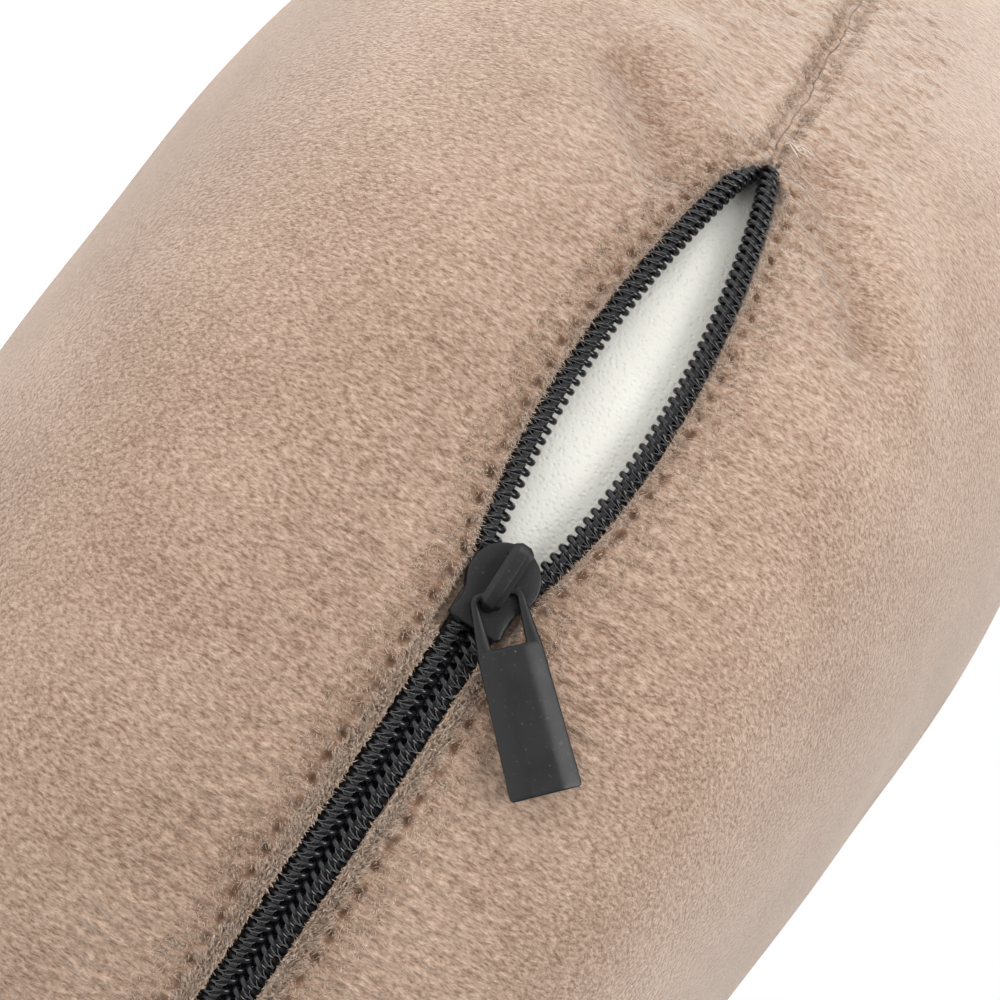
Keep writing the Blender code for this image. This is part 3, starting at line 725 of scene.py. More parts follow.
def panel_surface(centres, degrees, band, turn, inner, middle, edge, front, inset=0.0):
    """Rows of a panel from its edge to its middle, over all stations.

    Band: radius R, offset from edge to RIM_BAND. Turn: radius R - d (1 - cos^(2/p) a), offset
    band + (rise - band) sin^(2/p) a. Inner: radius shrinks to 0. Middle: centres shrink to 0.
    """
    side = 1.0 if front else -1.0
    depth = (FRONT_ROUND if front else BACK_ROUND) - inset
    reach = RADIUS - inset
    band_rows = edge[None, :] + band[:, None] * (RIM_BAND - inset - edge[None, :])
    cosine = np.cos(turn * np.pi / 2)[:, None] ** (2.0 / ROUND_POWER)
    sine = np.sin(turn * np.pi / 2)[:, None] ** (2.0 / ROUND_POWER)
    turn_radius = reach - depth * (1.0 - cosine) + 0.0 * edge[None, :]
    inner_radius = (reach - depth) * inner[:, None] + 0.0 * edge[None, :]
    radius = np.concatenate(
        [0.0 * band_rows + reach, turn_radius, inner_radius, 0.0 * middle[:, None] + 0.0 * edge]
    )
    scale = np.ones(len(radius))
    scale[len(radius) - len(middle):] = middle
    places = centres[None] * scale[:, None, None] + radius[..., None] * outward(degrees)[None]
    total = front_rise(places[..., 0], places[..., 1]) if front else SEAM_HEIGHT + 0.0 * radius
    total = total - inset
    rise = np.where(np.arange(len(radius))[:, None] < len(band), 0.0, total)
    start = len(band)
    rounded = slice(start, start + len(turn))
    rise[rounded] = RIM_BAND - inset + (rise[rounded] - RIM_BAND + inset) * sine
    rise[:start] = band_rows
    places[..., 2] = SEAM_HEIGHT + side * rise
    return places


# %% Foam core piece
FOAM_WALL_LEVEL = -0.0047


def build_foam():
    centres, degrees = build_stations(200, 24, 28)
    inset = COVER_WALL + GAP
    no_edge = np.full(len(degrees), RIM_BAND - inset - 0.004)
    turn = np.linspace(0.0, 1.0, 22)[1:]
    inner = np.linspace(1.0, 0.0, 10)[1:]
    middle = np.linspace(1.0, 0.0, 4)[1:]
    halves = []
    for front in (True, False):
        band = np.array([1.0])
        halves.append(panel_surface(centres, degrees, band, turn, inner, middle, no_edge, front, inset))
    offsets = np.linspace(1.0, -1.0, 19)[:, None] * (RIM_BAND - inset + GAP * 2)
    s = along_outline(centres, degrees)[None, :]
    ripple = np.sin(s * 520.0 + offsets * 300.0) + np.sin(s * 231.0 - offsets * 410.0) - 2.0
    ripple = 0.00008 * ripple
    radius = (RADIUS + FOAM_WALL_LEVEL + ripple)[..., None]
    wall = centres[None] + radius * outward(degrees)[None] + (SEAM_HEIGHT + offsets)[..., None] * UP
    grid = np.concatenate([halves[0][::-1], wall, halves[1]])
    return make_piece("foam_core_skin", [shell(grid)], FOAM)


foam = fit(build_foam(), "cushion", "foam", "foam_core")

# %% [markdown]
# ## Velour panels
# Each panel is a closed shell. Its outer face starts at a rolled lip beside the zip, or at the
# seam, runs over the rim and ends in the middle of the cushion, and its inner face goes back
# again. The shape of the cloth is then pushed in and out along its normal: a valley at the
# seam, a dimple at each stitch, a soft ridge between stitches and zip, and the drag folds that
# start where the zip ends.

# %% Cloth relief
STITCH_PITCH = 0.0032
STITCH_ROW = 0.0024
FIRST_ROW = 0.0011
ZIP_FINISH = arc(ZIP_END)
FRONT_FOLDS = [(-0.0015, (0.001, 0.006), (-0.020, 0.022), 0.0040),
               (0.0010, (0.004, 0.015), (-0.018, 0.031), 0.0050)]
BACK_FOLDS = [(-0.0018, (-0.014, 0.011), (-0.003, 0.021), 0.0042),
              (0.0014, (-0.004, 0.008), (0.008, 0.018), 0.0042)]
LIP_ZIP = np.array(
    [[-0.0024, 0.0010], [-0.00255, -0.0010], [-0.0025, -0.0015], [-0.0023, -0.0017],
     [-0.0021, -0.0014], [-0.0020, -0.0006], [-0.0017, -0.00022], [-0.0011, -0.00012],
     [-0.0006, 0.0], [-0.00025, 0.00025], [-0.00008, 0.00055]]
)
LIP_SEAM = np.array(
    [[-0.0024, 0.0006], [-0.0024, 0.0002], [-0.0022, 0.0], [-0.0020, 0.0],
     [-0.0018, 0.0], [-0.0015, 0.0], [-0.0011, 0.0], [-0.0005, 0.0],
     [-0.00018, 0.00008], [-0.00008, 0.00032], [-0.00002, 0.0007]]
)
SEAM_SPLIT = 0.00001
INNER_DEPTH = 0.0022


def lip_share(degrees, front):
    """1 where a lip stands clear of the chain and 0 on the seam. The back lip leans in sooner."""
    run = 2.6 if front else 4.2
    return smoothstep((ZIP_END - degrees) / run) * smoothstep((degrees - ZIP_START) / 2.0)


def lip_edge(degrees, front):
    """Seam plane to the top of the rolled lip: beside the chain, and nearly 0 on the seam."""
    wide = np.maximum(chain_offset(degrees) + COIL_WIDTH + LIP_CLOSE, LIP_CLEAR)
    return SEAM_SPLIT + (wide - SEAM_SPLIT) * lip_share(degrees, front)


def skirt_reach(degrees):
    """Share of the skirt's full width: 1 beside the closed chain, 0 beside the opening."""
    room = LIP_CLEAR - (chain_offset(degrees) + COIL_WIDTH + LIP_CLOSE)
    return np.clip(room / 0.0017, 0.0, 1.0)


def seam_wander(along, degrees):
    """How far the seam strays from its plane: three sines of the distance along it."""
    stray = 0.22 * np.sin(along * 310.0) + 0.12 * np.sin(along * 730.0 + 1.0)
    stray = stray + 0.05 * np.sin(along * 1710.0)
    return 0.001 * stray * (1.0 - in_zip(degrees))


TUFT_RANDOM = np.random.default_rng(3)
TUFT_WAVES = unit(TUFT_RANDOM.normal(size=(20, 3))) * TUFT_RANDOM.uniform(2200.0, 4300.0, (20, 1))
TUFT_STARTS = TUFT_RANDOM.uniform(0.0, 2.0 * np.pi, 20)


def tufts(places):
    """Clumps of pile: the sum of 20 plane waves, each 1.5 to 3 mm long, with a spread near 1."""
    waves = np.sin(places @ (TUFT_WAVES * np.array([1.0, 1.0, 0.6])).T + TUFT_STARTS)
    return waves.sum(axis=-1) / math.sqrt(10.0)


def stitch_phase(along, front):
    """Stitch number along a row, with the small unevenness of a hand-fed machine."""
    shift = 0.35 if front else 0.0
    uneven = 0.06 * np.sin(along * 410.0 + 4.0 * shift) + 0.05 * np.sin(along * 173.0)
    return along / STITCH_PITCH + shift + uneven


def fold(along, offset, start, end, width):
    """bell of the distance to the line from start to end, in (along, offset) metres."""
    start, end = np.array(start), np.array(end)
    line = end - start
    a, b = along - start[0], offset - start[1]
    share = np.clip((a * line[0] + b * line[1]) / (line @ line), 0.0, 1.0)
    gap = np.hypot(a - share * line[0], b - share * line[1])
    return bell(gap, width)


def relief(along, degrees, width, offset, front):
    """Push along the normal in metres, from the distance along the rim and from the lip."""
    zipped = in_zip(degrees)
    phase = stitch_phase(along, front)
    pucker = 0.5 + 0.5 * np.cos(2.0 * np.pi * phase)
    sharp = pucker**3
    row = width - STITCH_ROW + FIRST_ROW
    beside_zip = -0.00030 * bell(row, 0.0009) - 0.00060 * sharp * bell(row, 0.00055)
    beside_zip += 0.00022 * bell(width - 0.0004, 0.0006)
    beside_zip += 0.00010 * (0.5 - pucker) * np.exp(-np.maximum(row, 0.0) / 0.004)
    uneven = 1.0 + 0.35 * np.sin(along * 770.0 + 2.0) * np.sin(along * 1310.0)
    on_seam = -0.0008 * uneven * bell(width, 0.0017) - 0.0004 * sharp * bell(width - 0.0006, 0.0014)
    on_seam += 0.00025 * (1.5 - pucker) * bell(width - 0.0036, 0.0018)
    push = zipped * beside_zip + (1.0 - zipped) * on_seam
    for height, start, end, reach in FRONT_FOLDS if front else BACK_FOLDS:
        push += height * fold(along - ZIP_FINISH, offset, start, end, reach)
    soft = np.sin(along * 61.0 + offset * 83.0) * np.sin(offset * 47.0 - along * 23.0 + 1.0)
    return push + 0.00035 * soft * smoothstep(offset / 0.012)


def surface_normals(grid):
    """Unit product of the differences along rows and columns, with wrapped columns."""
    by_row = np.gradient(grid, axis=0)
    by_column = np.roll(grid, -1, axis=1) - np.roll(grid, 1, axis=1)
    normal = np.cross(by_row, by_column)
    length = np.linalg.norm(normal, axis=-1, keepdims=True)
    return normal / np.maximum(length, 1e-12)


def build_panel(front, material):
    centres, degrees = build_stations(600, 76, 44)
    along = along_outline(centres, degrees)
    zipped = lip_share(degrees, front)[None, :]
    edge = lip_edge(degrees, front)
    band = np.linspace(0.0, 1.0, 36) ** 1.15
    turn = np.linspace(0.0, 1.0, 60)[1:]
    inner = np.linspace(1.0, 0.0, 14)[1:]
    middle = np.linspace(1.0, 0.0, 5)[1:]
    begin = edge + FIRST_ROW
    outer = panel_surface(centres, degrees, band, turn, inner, middle, begin, front)
    side = 1.0 if front else -1.0
    normal = surface_normals(outer) * side
    normal[-1] = UP * side
    steps = np.linalg.norm(np.diff(outer, axis=0), axis=-1)
    width = FIRST_ROW + np.concatenate([0.0 * edge[None], np.cumsum(steps, axis=0)])
    offset = edge[None] + width
    push = relief(along[None], degrees[None], width, offset, front)
    fine = smoothstep((0.262 - along) / 0.006) * smoothstep(along / 0.004)
    push = push + 0.00013 * tufts(outer) * fine[None] * bell(np.maximum(width - 0.013, 0.0), 0.004)
    push = push + 0.0004 * bell(degrees - 71.6, 1.3)[None] * bell(width, 0.003)
    rim = len(band) + len(turn)
    fade = np.concatenate([np.ones(rim), np.linspace(1.0, 0.0, len(outer) - rim)])[:, None]
    sparse = [0, 12, 36, 50, 66, 82, rim, 104, len(outer) - 1]
    inside = outer[sparse] - INNER_DEPTH * normal[sparse]
    outer = outer + (push * fade)[..., None] * normal
    lip = LIP_SEAM[:, :, None] + (LIP_ZIP - LIP_SEAM)[:, :, None] * zipped[None]
    lip[:, 1] = np.where(lip[:, 1] < 0.0, lip[:, 1] * skirt_reach(degrees), lip[:, 1])
    ease = smoothstep(np.arange(len(LIP_ZIP)) / (len(LIP_ZIP) - 1.0))[:, None]
    level = lip[:, 0] + push[:1] * ease
    lip_offset = edge[None] + lip[:, 1]
    rolled = centres[None] + (RADIUS + level)[..., None] * outward(degrees)[None]
    stray = seam_wander(along, degrees)[None]
    rolled[..., 2] = SEAM_HEIGHT + side * lip_offset + stray
    outer[..., 2] += stray * np.exp(-width / 0.004)
    grid = np.concatenate([inside[::-1], rolled, outer])
    # Painted shade: the pile is darkened where the cloth sinks (the seam's valley and the folds), near
    # the seam and beside the zip, and in the stitch dimples, and the inner face is painted fully dark.
    # The rolled lip beside the zip is painted lighter instead, to make up for the shade it sits in.
    hollow_shade = np.clip(-(push * fade) / 0.0011, 0.0, 1.0)
    near = zipped * bell(width - 0.001, 0.0030) + (1.0 - zipped) * bell(width, 0.0017)
    ragged = 0.6 + 0.4 * np.clip(tufts(outer), -1.0, 1.0)
    lip_painted_light = -0.5 * (1.0 - ease) * zipped + 0.0 * edge[None]
    dimple = zipped * (0.5 + 0.5 * np.cos(2.0 * np.pi * stitch_phase(along, front)[None])) ** 1.2
    stray_row = 0.0013 + 0.00030 * np.sin(along * 733.0)[None]
    dimple = dimple * bell(width - stray_row, 0.00036) * np.clip(0.55 + 0.5 * tufts(outer), 0.1, 1.0)
    shade = np.clip(0.20 * hollow_shade + (0.34 - 0.06 * zipped) * near * ragged + 1.25 * dimple, 0.0, 1.0)
    painted_shading = np.concatenate([np.ones(inside.shape[:2]), lip_painted_light, shade])
    name = "velour_front_panel" if front else "velour_back_panel"
    return make_piece(name, [shell(grid)], material, painted_shading=painted_shading)


front_panel = fit(build_panel(True, VELOUR_FRONT), "cushion", "velour_front", "cover_front_panel")
back_panel = fit(build_panel(False, VELOUR_BACK), "cushion", "velour_back", "cover_back_panel")

# %% [markdown]
# ## Zip
# Each half of a coil zip is a nylon wire wound in flattened turns round a filler cord and sewn
# to the edge of a woven tape. The turn's nose is pressed into a head, and the heads of the two
# halves interlock half a pitch apart. A turn is a closed curve of one angle, so the whole wire
# is one function of that angle and one long tube.

# %% Coil wire
WIRE, FLAT = 0.00036, 0.80
ZIP_FROM, ZIP_TO = ZIP_START + 0.25, ZIP_END - 0.35
FRONT_SINK, BACK_SINK = 0.0003, 0.0009


def end_sink(degrees):
    """0 along the zip and 1 at its open end, where the coils dip under the cloth."""
    return smoothstep((degrees - 69.6) / 2.4)


def coil_path(side):
    """The wire's middle line: offset and level go round an oval, and s climbs at the outside."""
    turns = int(arc(ZIP_TO - ZIP_FROM) / PITCH)
    steps = 18
    count = np.arange(turns * steps + 1) / steps
    angle = 2.0 * np.pi * count
    lag = 0.5 if side > 0 else 0.0
    climb = count - np.sin(angle) / (2.0 * np.pi) * 0.75
    degrees = ZIP_FROM + np.degrees((climb + lag) * PITCH / RADIUS)
    reach = COIL_WIDTH / 2 + 0.000345 - WIRE * FLAT
    middle = chain_offset(degrees) + COIL_WIDTH / 2 - 0.000095
    outer = np.cos(angle)
    offset = side * (middle + reach * outer)
    level = COIL_MIDDLE + (0.0011 - WIRE * FLAT) * np.sin(angle) * (1.0 - 0.12 * outer)
    level = level - (FRONT_SINK if side > 0 else BACK_SINK) * end_sink(degrees)
    head = bell(outer + 1.0, 0.35)
    return on_arc(degrees, level, offset), outward(degrees), head


def build_coil(side, name):
    path, normal, head = coil_path(side)
    axis = np.cross(normal, UP)
    wire = tube(path, WIRE * (1.0 + 0.06 * head), 8, hint=axis, squeeze=FLAT)
    shape = 1.0 + 0.14 * head[:, None, None]
    middle = path[:, None, :]
    away = wire[1:-1] - middle
    part = (away * axis[:, None, :]).sum(axis=-1, keepdims=True) * axis[:, None, :]
    wire[1:-1] = middle + away + part * (shape - 1.0)
    return make_piece(name, [shell(wire)], NYLON)


for side, word in ((1.0, "front"), (-1.0, "back")):
    coil = build_coil(side, f"coil_turns_{word}")
    fit(coil, "cushion", "nylon_coil", f"zip_coil_{word}")

# %% [markdown]
# The filler cord is three strands twisted together. The sewing threads run in two rows over
# the turns: each rises over a wire and sinks between two, and swings a little from side to
# side, as a chain stitch does. The tape is a thin woven strip.

# %% Cords, sewing threads and tapes
STRAND_TURN = 0.0024
WEFT_PITCH = 0.00075
TAPE_WIDTH = 0.0091
LOOPS = [(0.00150, 0.00088, 0.50, 0.00030), (0.00190, 0.00045, 0.62, 0.00028)]


def length_uv(rows, cols, along, across):
    """A map for a grid: along grows with the row and across with the column."""
    u = np.linspace(0.0, along, rows)[:, None] + np.zeros(cols)
    v = np.linspace(0.0, across, cols)[None, :] + np.zeros((rows, 1))
    return np.stack([u, v], axis=-1).reshape(-1, 2)


def build_cord(side, name):
    degrees = np.linspace(ZIP_FROM, ZIP_TO, 620)
    offset = side * (chain_offset(degrees) + COIL_WIDTH / 2)
    path = on_arc(degrees, COIL_MIDDLE, offset)
    turn = 2.0 * np.pi * np.arange(12)[None, :] / 12
    twist = arc(degrees - ZIP_FROM)[:, None] / STRAND_TURN * 2.0 * np.pi
    lobes = 1.0 + 0.14 * np.cos(3.0 * (turn - twist / 3.0))
    grid = tube(path, 0.00040, 12, hint=outward(degrees))
    grid[1:-1] = path[:, None] + (grid[1:-1] - path[:, None]) * lobes[..., None]
    uv = length_uv(len(grid), 12, 900.0, 3.0)
    return make_piece(name, [shell(grid)], COIL_CORD, uv)


def build_sewing(side, name):
    """Loops between the turns: offset = row + swing cos(a), level = depth + rise sin(a)."""
    turns = int(arc(ZIP_TO - ZIP_FROM) / PITCH) - 1
    parts = []
    for row, swing, shift, rise in LOOPS:
        count = np.arange(turns * 16 + 1) / 16
        angle = 2.0 * np.pi * count
        climb = count - np.sin(angle) / (2.0 * np.pi) * 0.8 + shift + (0.5 if side > 0 else 0.0)
        degrees = ZIP_FROM + np.degrees(climb * PITCH / RADIUS)
        offset = side * (chain_offset(degrees) + row + swing * np.cos(angle))
        level = -0.00030 + rise * np.sin(angle) - 0.0007 * end_sink(degrees)
        path = on_arc(degrees, level, offset)
        parts.append(shell(tube(path, 0.00005, 6, hint=outward(degrees))))
    uv = np.concatenate([length_uv(len(points) // 6, 6, 1400.0, 2.0) for points, _ in parts])
    return make_piece(name, parts, CHAIN_THREAD, uv)


def build_tape(side, name):
    """An oval-edged strip from the chain's edge outwards, with a rib at every weft yarn."""
    degrees = np.linspace(ZIP_START + 0.05, ZIP_END - 0.05, 740)[:, None]
    share = np.linspace(0.0, 1.0, 22)[None, :]
    near = chain_offset(degrees) + 0.0004
    rib = 0.00005 * np.sin(arc(degrees) / WEFT_PITCH * 2.0 * np.pi)
    taper = np.sqrt(np.clip(1.0 - (2.0 * share - 1.0) ** 20, 0.0, 1.0))
    middle = (TAPE_TOP + TAPE_BOTTOM) / 2
    half = (TAPE_TOP - TAPE_BOTTOM) / 2 - 0.00006
    offset = side * (near + TAPE_WIDTH * share)
    upper = on_arc(degrees, middle + (half + rib) * taper, offset)
    lower = on_arc(degrees, middle - half * taper, offset)
    ring = np.concatenate([upper, lower[:, ::-1]], axis=1)
    grid = capped(ring)
    uv = length_uv(*grid.shape[:2], 480.0, 60.0)
    return make_piece(name, [shell(grid)], ZIP_TAPE, uv)


for side, word in ((1.0, "front"), (-1.0, "back")):
    fit(build_cord(side, f"coil_filler_{word}"), "cushion", "coil_cord", f"coil_cord_{word}")
    fit(build_tape(side, f"woven_tape_{word}"), "cushion", "zip_tape", f"zip_tape_{word}")
    fit(build_sewing(side, f"chain_sewing_{word}"), "cushion", "thread")

# %% [markdown]
# ## Stitching
# The rows beside the zip sink into the pile. A stitch is a low arch of thread that dives into
# the cloth at both ends, at the same places as the dimples. The block at each end of the zip is
# a zigzag, and a few loose light ends were left at the open one. The long seam's thread is
# inside the cover, so its solid stays and only takes a finish.

# %% Topstitch rows and bar tacks
def build_topstitch(front, name):
    side = 1.0 if front else -1.0
    degrees = np.linspace(ZIP_START + 2.2, ZIP_END - 2.2, 1500)
    along = arc(degrees)
    pucker = 0.5 + 0.5 * np.cos(2.0 * np.pi * stitch_phase(along, front))
    level = -0.00105 - 0.0009 * pucker**3
    offset = side * (lip_edge(degrees, front) + STITCH_ROW - FIRST_ROW)
    path = on_arc(degrees, level, offset)
    grid = tube(path, 0.00014, 6, hint=outward(degrees))
    uv = length_uv(*grid.shape[:2], 1500.0, 2.0)
    return make_piece(name, [shell(grid)], BROWN_THREAD, uv)


def build_tack(at, name, seed, loose):
    """A zigzag across the seam, and loose ends that wander from it, as two pieces."""
    random = np.random.default_rng(seed)
    passes, steps = 22, 12
    share = np.arange(passes * steps + 1) / steps
    swing = 1.0 - 2.0 * np.abs(share % 2.0 - 1.0)
    half = 0.0012
    wander = np.interp(share, np.arange(passes + 1), random.normal(0.0, 0.04, passes + 1))
    degrees = at + np.degrees(0.0016 * (share / passes - 0.5 + wander * 0.3) / RADIUS)
    level = -0.00150 - 0.0008 * np.abs(swing) ** 3 + 0.0001 * wander
    path = on_arc(degrees, level, half * swing)
    grid = tube(path, 0.00012, 6, hint=outward(degrees))
    uv = length_uv(*grid.shape[:2], 160.0, 2.0)
    knot = make_piece(name, [shell(grid)], BROWN_THREAD, uv)
    parts, maps = [], []
    for _ in range(loose):
        t = np.linspace(0.0, 1.0, 22)
        reach = random.uniform(0.0022, 0.0046)
        lean = random.uniform(-0.5, 0.5)
        lift = random.uniform(0.0003, 0.0010)
        wave = random.uniform(2.0, 5.0)
        spread = at + np.degrees((lean * reach * t + 0.0003 * np.sin(wave * t * 3.0)) / RADIUS)
        height = 0.0004 + lift * np.sin(np.pi * (0.15 + 0.75 * t)) + 0.0003 * t
        line = on_arc(spread, height, 0.0004 + reach * t + 0.0002 * np.cos(wave * t * 4.0))
        grid = tube(line, 0.00011, 5, hint=outward(spread))
        parts.append(shell(grid))
        maps.append(length_uv(*grid.shape[:2], 20.0, 1.0))
    ends = make_piece(name.replace("tack", "loose"), parts, TACK_THREAD, np.concatenate(maps))
    return knot, ends


for front, word in ((True, "front"), (False, "back")):
    fit(build_topstitch(front, f"stitches_{word}"), "cushion", "thread", f"topstitch_{word}")
for at, word, seed, loose in ((ZIP_END + 0.35, "open", 5, 7), (ZIP_START - 0.35, "closed", 8, 2)):
    knot, ends = build_tack(at, f"tack_threads_{word}_end", seed, loose)
    fit(knot, "cushion", "tack_thread", f"bar_tack_{word}_end")
    fit(ends, "cushion", "tack_thread")


def seam_thread_finish():
    material, tree, shader = start_material("seam_thread_brown")
    lay = noise(tree, object_coordinates(tree), 2500.0, 2.0, 0.5)
    tint = mixed(tree, lay, (0.12, 0.07, 0.045, 1.0), (0.25, 0.16, 0.11, 1.0))
    tree.links.new(tint, shader.inputs["Base Color"])
    shader.inputs["Roughness"].default_value = 0.85
    add_bump(tree, shader, lay, 0.00005)
    return material


seam_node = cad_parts["perimeter_seam_thread"]
seam_node.data.materials.clear()
seam_node.data.materials.append(seam_thread_finish())
print("seam thread finished")

# %% [markdown]
# ## Pile fringe
# A noise can't show the single fibres that lean over the zip. Along both lips and along the
# seam, thousands of short tapered fibres stand on the cloth, in the channel
# beside the closed chain too. Each has twelve triangles, and one array holds them all.

# %% Fibres
FIBRE_RADII = np.array([0.000050, 0.000044, 0.000014])
SKIRT_THICKER = 1.7
SKIRT_SHARE, LIP_SHARE, SEAM_SHARE = 0.45, 0.25, 0.12


def build_fringe(front, count, seed, material):
    """Four kinds, by share: on the skirt, on the lip, on the seam, and around.

    A fibre starts at (degrees, level, offset) and grows by lean, stand and drift with a curl.
    """
    random = np.random.default_rng(seed)
    side = 1.0 if front else -1.0
    kind = random.uniform(0.0, 1.0, count)
    on_skirt = kind < SKIRT_SHARE
    on_lip = ~on_skirt & (kind < SKIRT_SHARE + LIP_SHARE)
    on_seam = kind > 1.0 - SEAM_SHARE

    def draw(low, high):
        return random.uniform(low, high, count)

    def pick(skirt, lip, rest, seam=None):
        seam = rest if seam is None else seam
        return np.select([on_skirt, on_lip, on_seam], [skirt, lip, seam], rest)

    by_chain, by_seam = draw(ZIP_START, 48.0), draw(ZIP_END - 1.0, 99.0)
    by_zip = draw(ZIP_START, ZIP_END)
    degrees = pick(by_chain, by_zip, by_zip, by_seam)
    past = np.maximum(degrees - 90.0, 0.0)
    edge = lip_edge(degrees, front)
    along = arc(degrees)
    spread = draw(0.0, 1.0)
    width = pick(0.0 * spread, 0.0014 * spread, 0.0014 + 0.0040 * spread, 0.0026 * spread**2)
    push = relief(along, np.minimum(degrees, 90.0), width, edge + width, front)
    skirt_level = -0.0014 + 0.0011 * draw(0.0, 1.0)
    level = np.where(on_skirt, skirt_level, push - 0.00012 - 0.0005 * bell(width, 0.0005))
    inwards = (-0.00155 + 0.0015 * spread) * lip_share(degrees, front) * skirt_reach(degrees)
    offset = edge + np.where(on_skirt, inwards, width)
    beside = np.abs(arc(degrees - SLIDER_AT + 0.5)) < 0.0075
    stitch = (np.cos(2.0 * np.pi * stitch_phase(along, front)) > 0.5) & (spread > 0.3)
    stitch &= (np.abs(width - 0.0013) < 0.0006) & ~on_skirt & ~on_seam
    keep = ~(beside & (offset < 0.0047)) & ~stitch
    keep &= ~(on_skirt & (skirt_reach(degrees) < 0.3))
    lean = pick(draw(-0.2, 0.6), draw(0.1, 0.9), draw(-0.7, 0.7))
    stand = pick(draw(0.3, 0.9), draw(0.1, 0.7), draw(0.25, 0.8))
    drift = [random.normal(middle, wide, count) for middle, wide in ((-0.3, 0.7), (-0.35, 0.45))]
    drift = np.where(on_skirt, *drift)
    length = draw(0.0005, 0.0011)
    size = length / np.sqrt(lean**2 + stand**2 + drift**2 + 1e-9)
    t = np.linspace(0.0, 1.0, 3)[None, :]
    curl = random.normal(0.0, 0.25, count)[:, None] * t**2

    def shifted(base, rate, bend=0.0):
        return base[:, None] + (rate * size)[:, None] * (t + bend)

    turn = np.minimum(shifted(degrees, np.degrees(drift / RADIUS), curl), 90.0 + 0.0 * t)
    stray = seam_wander(along, np.minimum(degrees, 90.0))[:, None]
    path = on_arc(turn, shifted(level, stand), side * shifted(offset, -lean, curl) + stray)
    path[..., 1] += arc(past)[:, None]
    hint = outward(degrees + 37.0)[:, None, :] + 0.3 * UP
    radius = FIBRE_RADII * random.uniform(0.7, 1.2, (count, 1))
    radius = radius * np.where(on_skirt, SKIRT_THICKER, 1.0)[:, None]
    word = "front" if front else "back"
    for kind_word, kept in (("skirt", keep & on_skirt), ("fringe", keep & ~on_skirt)):
        grid = tube(path[kept], radius[kept], 3, hint=hint[kept])[:, [0, 1, 2, 4]]
        piece = make_piece(f"pile_{kind_word}_{word}", [shell(grid)], material)
        fit(piece, "cushion", f"velour_{word}")


build_fringe(True, 28000, 11, LIGHTENED_FIBRE_FRONT)
build_fringe(False, 28000, 12, LIGHTENED_FIBRE_BACK)

# %% [markdown]
# ## Slider
# The slider is one zinc casting: a top and a bottom plate, joined by a post at the mouth, with
# two flanges that press the coils together. A plate is its outline carried up through a few
# insets, which round its rims, so it is a function of the place on the outline and the height.

# %% Slider body
def to_world(local, origin, x_axis, y_axis, z_axis):
    """origin + x * x_axis + y * y_axis + z * z_axis."""
    return origin + local[..., :1] * x_axis + local[..., 1:2] * y_axis + local[..., 2:] * z_axis


def slider_world(local):
    return to_world(local, SLIDER_ORIGIN, SLIDER_X, SLIDER_Y, SLIDER_Z)


def smooth_loop(corners, radii, steps=8):
    """A closed outline whose corners are arcs: points between the two tangent points."""
    corners = np.array(corners, float)
    radii = np.broadcast_to(radii, len(corners))
    before = unit(np.roll(corners, 1, axis=0) - corners)
    after = unit(np.roll(corners, -1, axis=0) - corners)
    half = np.arccos(np.clip((before * after).sum(axis=1), -1.0, 1.0)) / 2
    reach = (radii / np.tan(half))[:, None]
    t = np.linspace(0.0, 1.0, steps)[None, :, None]
    start, end = (corners + before * reach)[:, None], (corners + after * reach)[:, None]
    middle = corners[:, None]
    arc = (1 - t) ** 2 * start + 2 * t * (1 - t) * middle + t**2 * end
    return arc.reshape(-1, 2)


def box_loop(left, right, half, radius):
    """A rectangle with rounded corners, from left to right and from -half to half."""
    return smooth_loop([(left, -half), (right, -half), (right, half), (left, half)], radius, 4)


def even_loop(outline, count):
    """The same closed outline with points at equal distances."""
    closed = np.concatenate([outline, outline[:1]])
    distance = np.concatenate([[0.0], np.cumsum(np.linalg.norm(np.diff(closed, axis=0), axis=1))])
    places = np.linspace(0.0, distance[-1], count, endpoint=False)
    return np.column_stack([np.interp(places, distance, closed[:, k]) for k in (0, 1)])


def inset_loop(outline, distance):
    """The outline moved inwards by distance along its own normal (it runs anticlockwise)."""
    tangent = unit(np.roll(outline, -1, axis=0) - np.roll(outline, 1, axis=0))
    return outline + distance * np.column_stack([-tangent[:, 1], tangent[:, 0]])


def plate(outline, low, high, rounding):
    """Rings of a flat casting: middle, lower rim, side, upper rim, middle."""
    turn = np.linspace(0.0, np.pi / 2, 5)
    rise, run = rounding * (1 - np.cos(turn)), rounding * (1 - np.sin(turn))

    def ring(flat, z):
        return np.column_stack([flat, np.full(len(flat), z)])

    insets, heights = np.concatenate([run, rise]), np.concatenate([low + rise, high - run])
    rings = [ring(inset_loop(outline, d), z) for d, z in zip(insets, heights)]
    middle, face = outline.mean(axis=0), inset_loop(outline, rounding)
    ends = ((low, 0.0), (low, 0.6), (high, 0.6), (high, 0.0))
    caps = [ring(middle + (face - middle) * share, z) for z, share in ends]
    return np.stack(caps[:2] + rings + caps[2:])


DISC, TAIL_HALF = 0.00442, 0.0035


def slider_outline(count=160):
    """A disc round the mouth that draws in to a waist and runs out to a square tail."""
    angle = np.radians(np.linspace(62.0, 298.0, 60))
    disc = DISC * np.column_stack([np.cos(angle), np.sin(angle)])
    t = np.linspace(0.0, 1.0, 12)[1:, None]
    low = np.array([[DISC * math.cos(math.radians(298)), DISC * math.sin(math.radians(298))]])
    shoulder = np.array([[0.0058, -TAIL_HALF + 0.00015]])
    pull_in = np.array([[0.0036, -0.0029]])
    waist = (1 - t) ** 2 * low + 2 * t * (1 - t) * pull_in + t**2 * shoulder
    tail = np.array([[0.0063, -TAIL_HALF], [TAIL_LENGTH, -TAIL_HALF + 0.0005]])
    lower = np.concatenate([waist, tail])
    upper = lower[::-1] * np.array([1.0, -1.0])
    return even_loop(np.concatenate([disc, lower, upper]), count)


